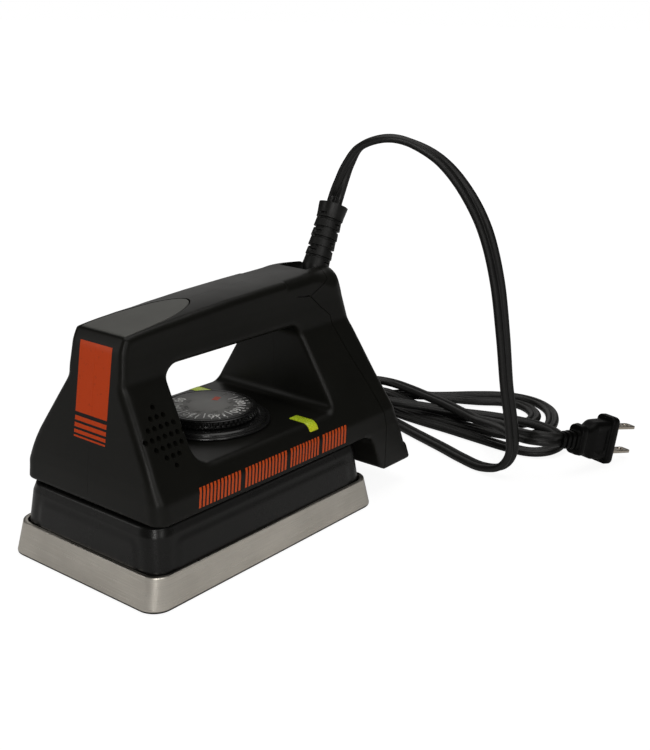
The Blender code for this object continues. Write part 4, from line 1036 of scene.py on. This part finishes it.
def make_dial_face(disc, white, grey, red):
    profile = [(0.4, DIAL_TOP), (18.0, DIAL_TOP), (18.6, DIAL_TOP - 0.02), (18.82, DIAL_TOP - 0.1),
               (18.9, DIAL_TOP - 0.3), (18.9, DIAL_TOP - 0.6), (0.4, DIAL_TOP - 0.6)]
    face = soften(turned("scale_disc", profile, (0, DIAL_Y), disc, 160), 40)
    place_piece(face, "dial", "dial_print", "dial_face")

    def numbers(texts, size, radius):
        return [figure(text, size, math.radians(angle), radius) for text, angle in zip(texts, DIAL_ANGLES)]

    large = numbers(("100", "120", "140", "160", "180", "80"), 5.5, 13.9)
    for angle in DIAL_ANGLES:
        large += [bar(angle, 16.6, 18.2, 0.55), bar(angle + 22.5, 11.0, 16.4, 0.55)]
        large += [bar(angle + step, 17.0, 18.2, 0.35) for step in (11.25, 33.75)]
    small = numbers(("210", "250", "285", "320", "355", "175"), 2.5, 9.7)
    small += [figure("0", 3.6, math.radians(106), 14.6), bar(106, 17.0, 18.3, 0.5)]
    for name, meshes, ink in (("white", large, white), ("grey", small, grey),
                              ("red", [bar(111, 6.6, 11.0, 2.8)], red)):
        printed = raised(f"scale_print_{name}", meshes, DIAL_TOP - PRINT_SUNK, DIAL_TOP + PRINT_PROUD, ink)
        place_piece(printed, "dial", "dial_print")


# ---------------------------------------------------------------- screws
def make_screw(name, head, axis, length, material, node):
    """Pan-head screw with a cross recess."""
    head, axis = Vector(head), Vector(axis).normalized()
    profile = [(0.02, 2.2), (1.2, 2.15), (2.2, 1.85), (2.8, 1.2), (3.0, 0.5), (3.0, 0.0), (1.6, 0.0)]
    profile += [(1.6 - 0.25 * (k % 2), -0.6 - 0.5 * k) for k in range(int((length - 2) / 0.5))]
    profile += [(0.9, 0.2 - length), (0.05, -length)]
    screw = turned(name, profile, (0, 0), material, 32)
    for half_x, half_y in ((1.7, 0.34), (0.34, 1.7)):
        carve(screw, box("arm", (-half_x, -half_y, 1.0), (half_x, half_y, 3.0)))
    turn = Vector((0, 0, 1)).rotation_difference(-axis)
    screw.data.transform(Matrix.Translation(head * MM) @ turn.to_matrix().to_4x4())
    return place_piece(soften(seal(screw), 35), "root", "zinc_steel", node)


def make_screws(material):
    for k, (y, z, seat, _) in enumerate(SIDE_SCREWS):
        length = 10.0 - seat if seat < -20 else 17.0
        make_screw(f"side_screw_{k + 1}", (seat - 0.3, y, z), (1, 0, 0), length, material,
                   f"housing_screw_{k + 1}")
    for (x, z), side in zip(COVER_SCREWS, ("left", "right")):
        make_screw(f"rear_screw_{side}", (x, COVER_SEAT + 0.3, z), (0, -1, 0), 18.0, material,
                   f"rear_cover_screw_{side}")


# ---------------------------------------------------------------- materials
LABEL_HEIGHTS, LABEL_HALF_WIDTH = (0.0682, 0.0965), 0.0093
BAR_GROUPS = ((-41.0, -17.6, 12), (-14.8, 10.7, 13), (13.3, 32.2, 10), (34.7, 51.3, 8))     # y, y, bars
BAR_GAP, BAR_SLANT, BAR_MIDDLE = 0.85, 0.22, 38.9          # mm, y per z, height of the middle


def make_housing_material():
    """Satin moulded black with the orange label on the front and the orange bars along both sides."""
    black, orange, bar_orange = (0.0062, 0.0062, 0.0048), (0.64, 0.056, 0.0), (0.64, 0.085, 0.014)
    shader = Shader("housing_black", black, 0.38, Specular_IOR_Level=0.21)
    x, y, z = shader.axes()
    width = shader.math("ABSOLUTE", x)
    colour = tinted(shader, black, 0.12, scale=45.0)

    label = shader.between(z, *LABEL_HEIGHTS)
    for top, thick in ((0.0666, 0.0018), (0.0638, 0.0017), (0.0611, 0.0014), (0.0588, 0.0007)):
        label = shader.math("ADD", label, shader.between(z, top - thick, top))
    label = shader.math("MULTIPLY", label, shader.math("LESS_THAN", width, LABEL_HALF_WIDTH), clamp=True)
    label = shader.math("MULTIPLY", label, shader.math("LESS_THAN", y, -0.052))

    on_side = shader.math("MULTIPLY", shader.math("GREATER_THAN", width, 0.037),
                          shader.between(z, 0.0350, 0.0428))
    slanted = shader.math("SUBTRACT", y, shader.math("MULTIPLY", z, BAR_SLANT))
    bars = 0.0
    for low, high, count in BAR_GROUPS:
        pitch = (high - low + BAR_GAP) / count * MM
        start = (low - BAR_SLANT * BAR_MIDDLE) * MM
        along = shader.math("SUBTRACT", slanted, start)
        group = shader.between(along, 0.0, count * pitch)
        share = shader.math("FRACT", shader.math("DIVIDE", along, pitch))
        group = shader.math("MULTIPLY", group, shader.math("LESS_THAN", share, 1 - BAR_GAP * MM / pitch))
        bars = shader.math("ADD", bars, group)
    bars = shader.math("MULTIPLY", bars, on_side, clamp=True)

    worn = shader.span(shader.noise(700.0, 3.0), 0.28, 0.4, 0.82, 1.0)
    colour = shader.mix(shader.math("MULTIPLY", label, worn), colour, orange)
    colour = shader.mix(shader.math("MULTIPLY", bars, worn), colour, bar_orange)
    printed = shader.math("ADD", label, bars, clamp=True)
    plain = patchy(shader, 28.0, 6.0, 0.32, 0.43)
    rough = shader.math("SUBTRACT", plain, shader.math("MULTIPLY", printed, 0.06))
    shader.set(Base_Color=colour, Roughness=rough)
    shader.bump(shader.noise(1500.0, 3.0), 0.35, 0.000012)
    shader.bump(printed, 0.5, 0.00004)
    return shader


def make_brushed():
    """Satin brushed plate: long fine scratches, soft lighter patches, and painted shade: the lower edge is
    painted near-black.
    """
    warm = (0.74, 0.70, 0.63)
    shader = Shader("brushed_aluminium", warm, 0.3, 1.0, Anisotropic=0.6)
    height = shader.axes()[2]
    scratches = shader.noise(1.0, 6.0, shader.stretch((28.0, 28.0, 5200.0)), 0.7)
    broad = shader.noise(1.0, 4.0, shader.stretch((60.0, 60.0, 900.0)))
    patches = patchy(shader, 38.0, 5.0, 0.0, 1.0)
    colour = shader.mix(patches, tuple(c * 0.86 for c in warm), tuple(min(1.0, c * 1.1) for c in warm))
    fine = shader.span(scratches, 0.3, 0.7, 0.0, 1.0)
    colour = shader.mix(shader.math("MULTIPLY", fine, 0.5), colour, tuple(c * 0.66 for c in warm))
    # Painted shade: the bottom 1.1 to 1.4 mm, where the chamfer turns down towards the floor, is painted
    # near-black.
    edge = shader.span(height, 0.0011, 0.0014, 1.0, 0.0)
    colour = shader.mix(edge, colour, (0.035, 0.032, 0.028))
    rough = shader.math("ADD", shader.span(scratches, 0.3, 0.7, 0.24, 0.38),
                        shader.span(broad, 0.3, 0.7, -0.04, 0.05))
    shader.set(Base_Color=colour, Roughness=rough)
    shader.bump(scratches, 0.35, 0.00002)
    shader.bump(broad, 0.25, 0.00003)
    return shader


def make_enamel():
    black = (0.006, 0.006, 0.0056)
    shader = Shader("black_enamel", black, 0.26, Specular_IOR_Level=0.3)
    shader.set(Base_Color=tinted(shader, black, 0.2, scale=80.0))
    dust = shader.span(shader.noise(2600.0, 2.0), 0.6, 0.75, 0.0, 0.12)
    shader.set(Roughness=shader.math("ADD", patchy(shader, 22.0, 6.0, 0.2, 0.32), dust))
    shader.bump(shader.noise(420.0, 4.0), 0.3, 0.00004)
    shader.bump(shader.noise(60.0, 3.0), 0.4, 0.00012)
    return shader


def make_disc_material():
    """Dark numeral band round a lighter middle."""
    dark, light = (0.03, 0.03, 0.028), (0.19, 0.187, 0.172)
    shader = Shader("disc_grey", dark, 0.34)
    x, y = shader.axes()[:2]
    y = shader.math("SUBTRACT", y, DIAL_Y * MM)
    squares = [shader.math("MULTIPLY", side, side) for side in (x, y)]
    radius = shader.math("SQRT", shader.math("ADD", *squares))
    middle = shader.span(radius, 0.006, 0.0165, 1.0, 0.0)
    shader.set(Base_Color=shader.mix(middle, tinted(shader, dark, 0.15), tinted(shader, light, 0.08)))
    shader.set(Roughness=patchy(shader, 40.0, 5.0, 0.3, 0.42))
    shader.bump(shader.noise(1500.0, 3.0), 0.3, 0.000008)
    return shader


def make_lens_material():
    green = (0.50, 0.66, 0.035)
    # Painted light: the lens is given a faint glow of its own green as emission, though it is no lamp.
    shader = Shader("lens_green", green, 0.24, Transmission_Weight=0.15, Subsurface_Weight=0.35,
                    Subsurface_Scale=0.004, Subsurface_Radius=(1.0, 0.9, 0.2), Emission_Color=green,
                    Emission_Strength=0.05)
    deck = shader.span(shader.axes()[2], 0.0465, 0.0489, 0.0, 1.0)
    end = tinted(shader, (0.80, 0.84, 0.03), 0.08)
    shader.set(Base_Color=shader.mix(deck, end, (0.58, 0.74, 0.03)))
    cells = shader.cells(1300.0)
    shader.set(Roughness=shader.span(cells, 0.0, 0.6, 0.2, 0.32))
    shader.bump(cells, 0.3, 0.00005)
    return shader


def make_cord_material():
    black = (0.0075, 0.0075, 0.007)
    shader = Shader("cord_black", black, 0.42, Specular_IOR_Level=0.36)
    shader.set(Base_Color=tinted(shader, black, 0.15, scale=120.0))
    shader.set(Roughness=patchy(shader, 70.0, 5.0, 0.36, 0.5))
    shader.bump(shader.noise(900.0, 3.0), 0.35, 0.00003)
    return shader


def simple_materials():
    """Finishes of the pieces inside, by the slot name that begins each imported material's name."""
    made = {
        "sole_metal": plated("inner_aluminium", (0.6, 0.57, 0.53), 0.35),
        "cover_enamel": moulded("inner_enamel", (0.01, 0.01, 0.01), 0.25),
        "housing_plastic": moulded("inner_black", (0.0125, 0.0125, 0.0105), 0.45),
        "pad_rubber": moulded("inner_rubber", (0.09, 0.09, 0.085), 0.7),
        "dial_plastic": moulded("inner_dial", (0.012, 0.012, 0.012), 0.3),
        "dial_print": moulded("inner_disc", (0.05, 0.05, 0.048), 0.4),
        "lens_plastic": moulded("inner_lens", (0.5, 0.66, 0.04), 0.3),
        "cord_rubber": moulded("inner_cord", (0.013, 0.013, 0.012), 0.5),
        "wire_insulation": moulded("wire_sleeve", (0.11, 0.04, 0.03), 0.55, 2500.0, 0.00003),
        "plated_steel": plated("plated_steel", (0.62, 0.57, 0.5), 0.28),
        "zinc_steel": plated("zinc_steel", (0.5, 0.51, 0.52), 0.38),
        "brass": plated("brass", (0.65, 0.47, 0.18), 0.32),
        "ceramic": moulded("ceramic", (0.72, 0.69, 0.62), 0.6, 1800.0, 0.00002, 0.04),
        "mineral_board": moulded("mineral_board", (0.5, 0.47, 0.42), 0.85, 1400.0, 0.00008, 0.12),
        "lamp_glass": moulded("lamp_glass", (0.7, 0.3, 0.15), 0.12, Transmission_Weight=0.8),
    }
    return {slot: shader.material for slot, shader in made.items()}


# ---------------------------------------------------------------- stage and light
FLOOR_GLOW = 0.7          # share of plain white in the floor as the camera sees it
AMBIENT = 0.06            # light from all round


def seen_as(tree, lit, shown, share, output):
    """A tree that shows one shader to the camera, up to a share, and another to the light."""
    nodes, links = tree.nodes, tree.links
    path, blend = nodes.new("ShaderNodeLightPath"), nodes.new("ShaderNodeMixShader")
    part = nodes.new("ShaderNodeMath")
    part.operation = "MULTIPLY"
    part.inputs[1].default_value = share
    links.new(path.outputs["Is Camera Ray"], part.inputs[0])
    for source, socket in zip((part, lit, shown), blend.inputs):
        links.new(source.outputs[0], socket)
    links.new(blend.outputs[0], nodes[output].inputs["Surface"])


def make_stage():
    far = 12.0 / MM
    floor_shader = Shader("pale_floor", (0.82, 0.82, 0.82), 0.9)
    tree = floor_shader.material.node_tree
    reach = floor_shader.node("VectorMath", floor_shader.place)
    reach.operation = "LENGTH"
    glow = tree.nodes.new("ShaderNodeEmission")
    tree.links.new(floor_shader.span(reach.outputs["Value"], 0.3, 1.4, 1.3, 1.5), glow.inputs["Strength"])
    seen_as(tree, floor_shader.shader, glow, FLOOR_GLOW, "Material Output")
    corners = [(-far, -far, 0), (far, -far, 0), (far, far, 0), (-far, far, 0)]
    floor = add_object("floor", mesh_from("floor", corners, [(0, 1, 2, 3)]), floor_shader)

    world = bpy.data.worlds.new("studio")
    bpy.context.scene.world = world
    world.use_nodes = True
    ambient, white = world.node_tree.nodes["Background"], world.node_tree.nodes.new("ShaderNodeBackground")
    for node, colour, strength in ((ambient, (1, 0.985, 0.96, 1), AMBIENT), (white, (1, 1, 1, 1), 1.0)):
        node.inputs["Color"].default_value = colour
        node.inputs["Strength"].default_value = strength
    seen_as(world.node_tree, ambient, white, 1.0, "World Output")


def soft_light(name, place, target, size, power):
    data = bpy.data.lights.new(name, "AREA")
    data.shape, data.size, data.size_y, data.energy = "RECTANGLE", size[0], size[1], power
    data.color = (1.0, 0.985, 0.965)
    light = bpy.data.objects.new(name, data)
    bpy.context.scene.collection.objects.link(light)
    aim = Vector(target) - Vector(place)
    light.matrix_world = Matrix.Translation(place) @ aim.to_track_quat("-Z", "Y").to_matrix().to_4x4()


def make_lights():
    middle = (0.0, 0.0, 0.06)
    soft_light("overhead", (0.05, 0.1, 1.0), middle, (0.9, 0.9), 3.9)
    soft_light("right_front", (0.95, -0.35, 0.55), middle, (0.28, 0.8), 1.7)
    soft_light("left_front", (-0.75, -0.85, 0.45), middle, (0.2, 0.8), 1.2)
    soft_light("near_camera", (0.70, -0.88, 0.40), middle, (0.1, 0.7), 2.8)
    soft_light("behind", (-0.58, 0.80, 0.44), middle, (1.0, 0.5), 0.8)


# ---------------------------------------------------------------- the model
cord_finish = make_cord_material()
plug_metal = plated("blade_metal", (0.60, 0.54, 0.46), 0.3, (300.0, 300.0, 300.0))
cord, cord_path = make_cord(cord_finish)
boot = make_boot(cord_finish)
plug_pieces = make_plug(moulded("plug_black", (0.003, 0.003, 0.0028), 0.4, Specular_IOR_Level=0.1),
                        plug_metal)

make_housing(make_housing_material())
make_thumb_pad(moulded("pad_grey", (0.098, 0.099, 0.091), 0.62, 1100.0, 0.00004, 0.06))
make_lenses(make_lens_material())
make_sole(make_brushed())
make_shield(make_enamel())
dial_black = moulded("dial_black", (0.008, 0.008, 0.008), 0.26, 1200.0, 0.00001)
make_collar(dial_black)
make_knob(dial_black)
make_dial_face(make_disc_material(),
               *(moulded(f"print_{name}", colour, 0.5, 1500.0, 0.000004, 0.04) for name, colour in
                 (("white", (0.86, 0.86, 0.84)), ("grey", (0.2, 0.2, 0.19)), ("red", (0.90, 0.10, 0.04)))))
make_screws(plated("screw_zinc", (0.42, 0.42, 0.42), 0.36, (200.0, 200.0, 200.0)))

finishes = simple_materials()
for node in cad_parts.values():
    for slot in node.material_slots:
        name = slot.material.name if slot.material else ""
        slot.material = next((finish for key, finish in finishes.items() if name.startswith(key)),
                             finishes["zinc_steel"])

make_stage()
make_lights()
bpy.context.scene.view_settings.view_transform = "Standard"
bpy.context.view_layer.update()
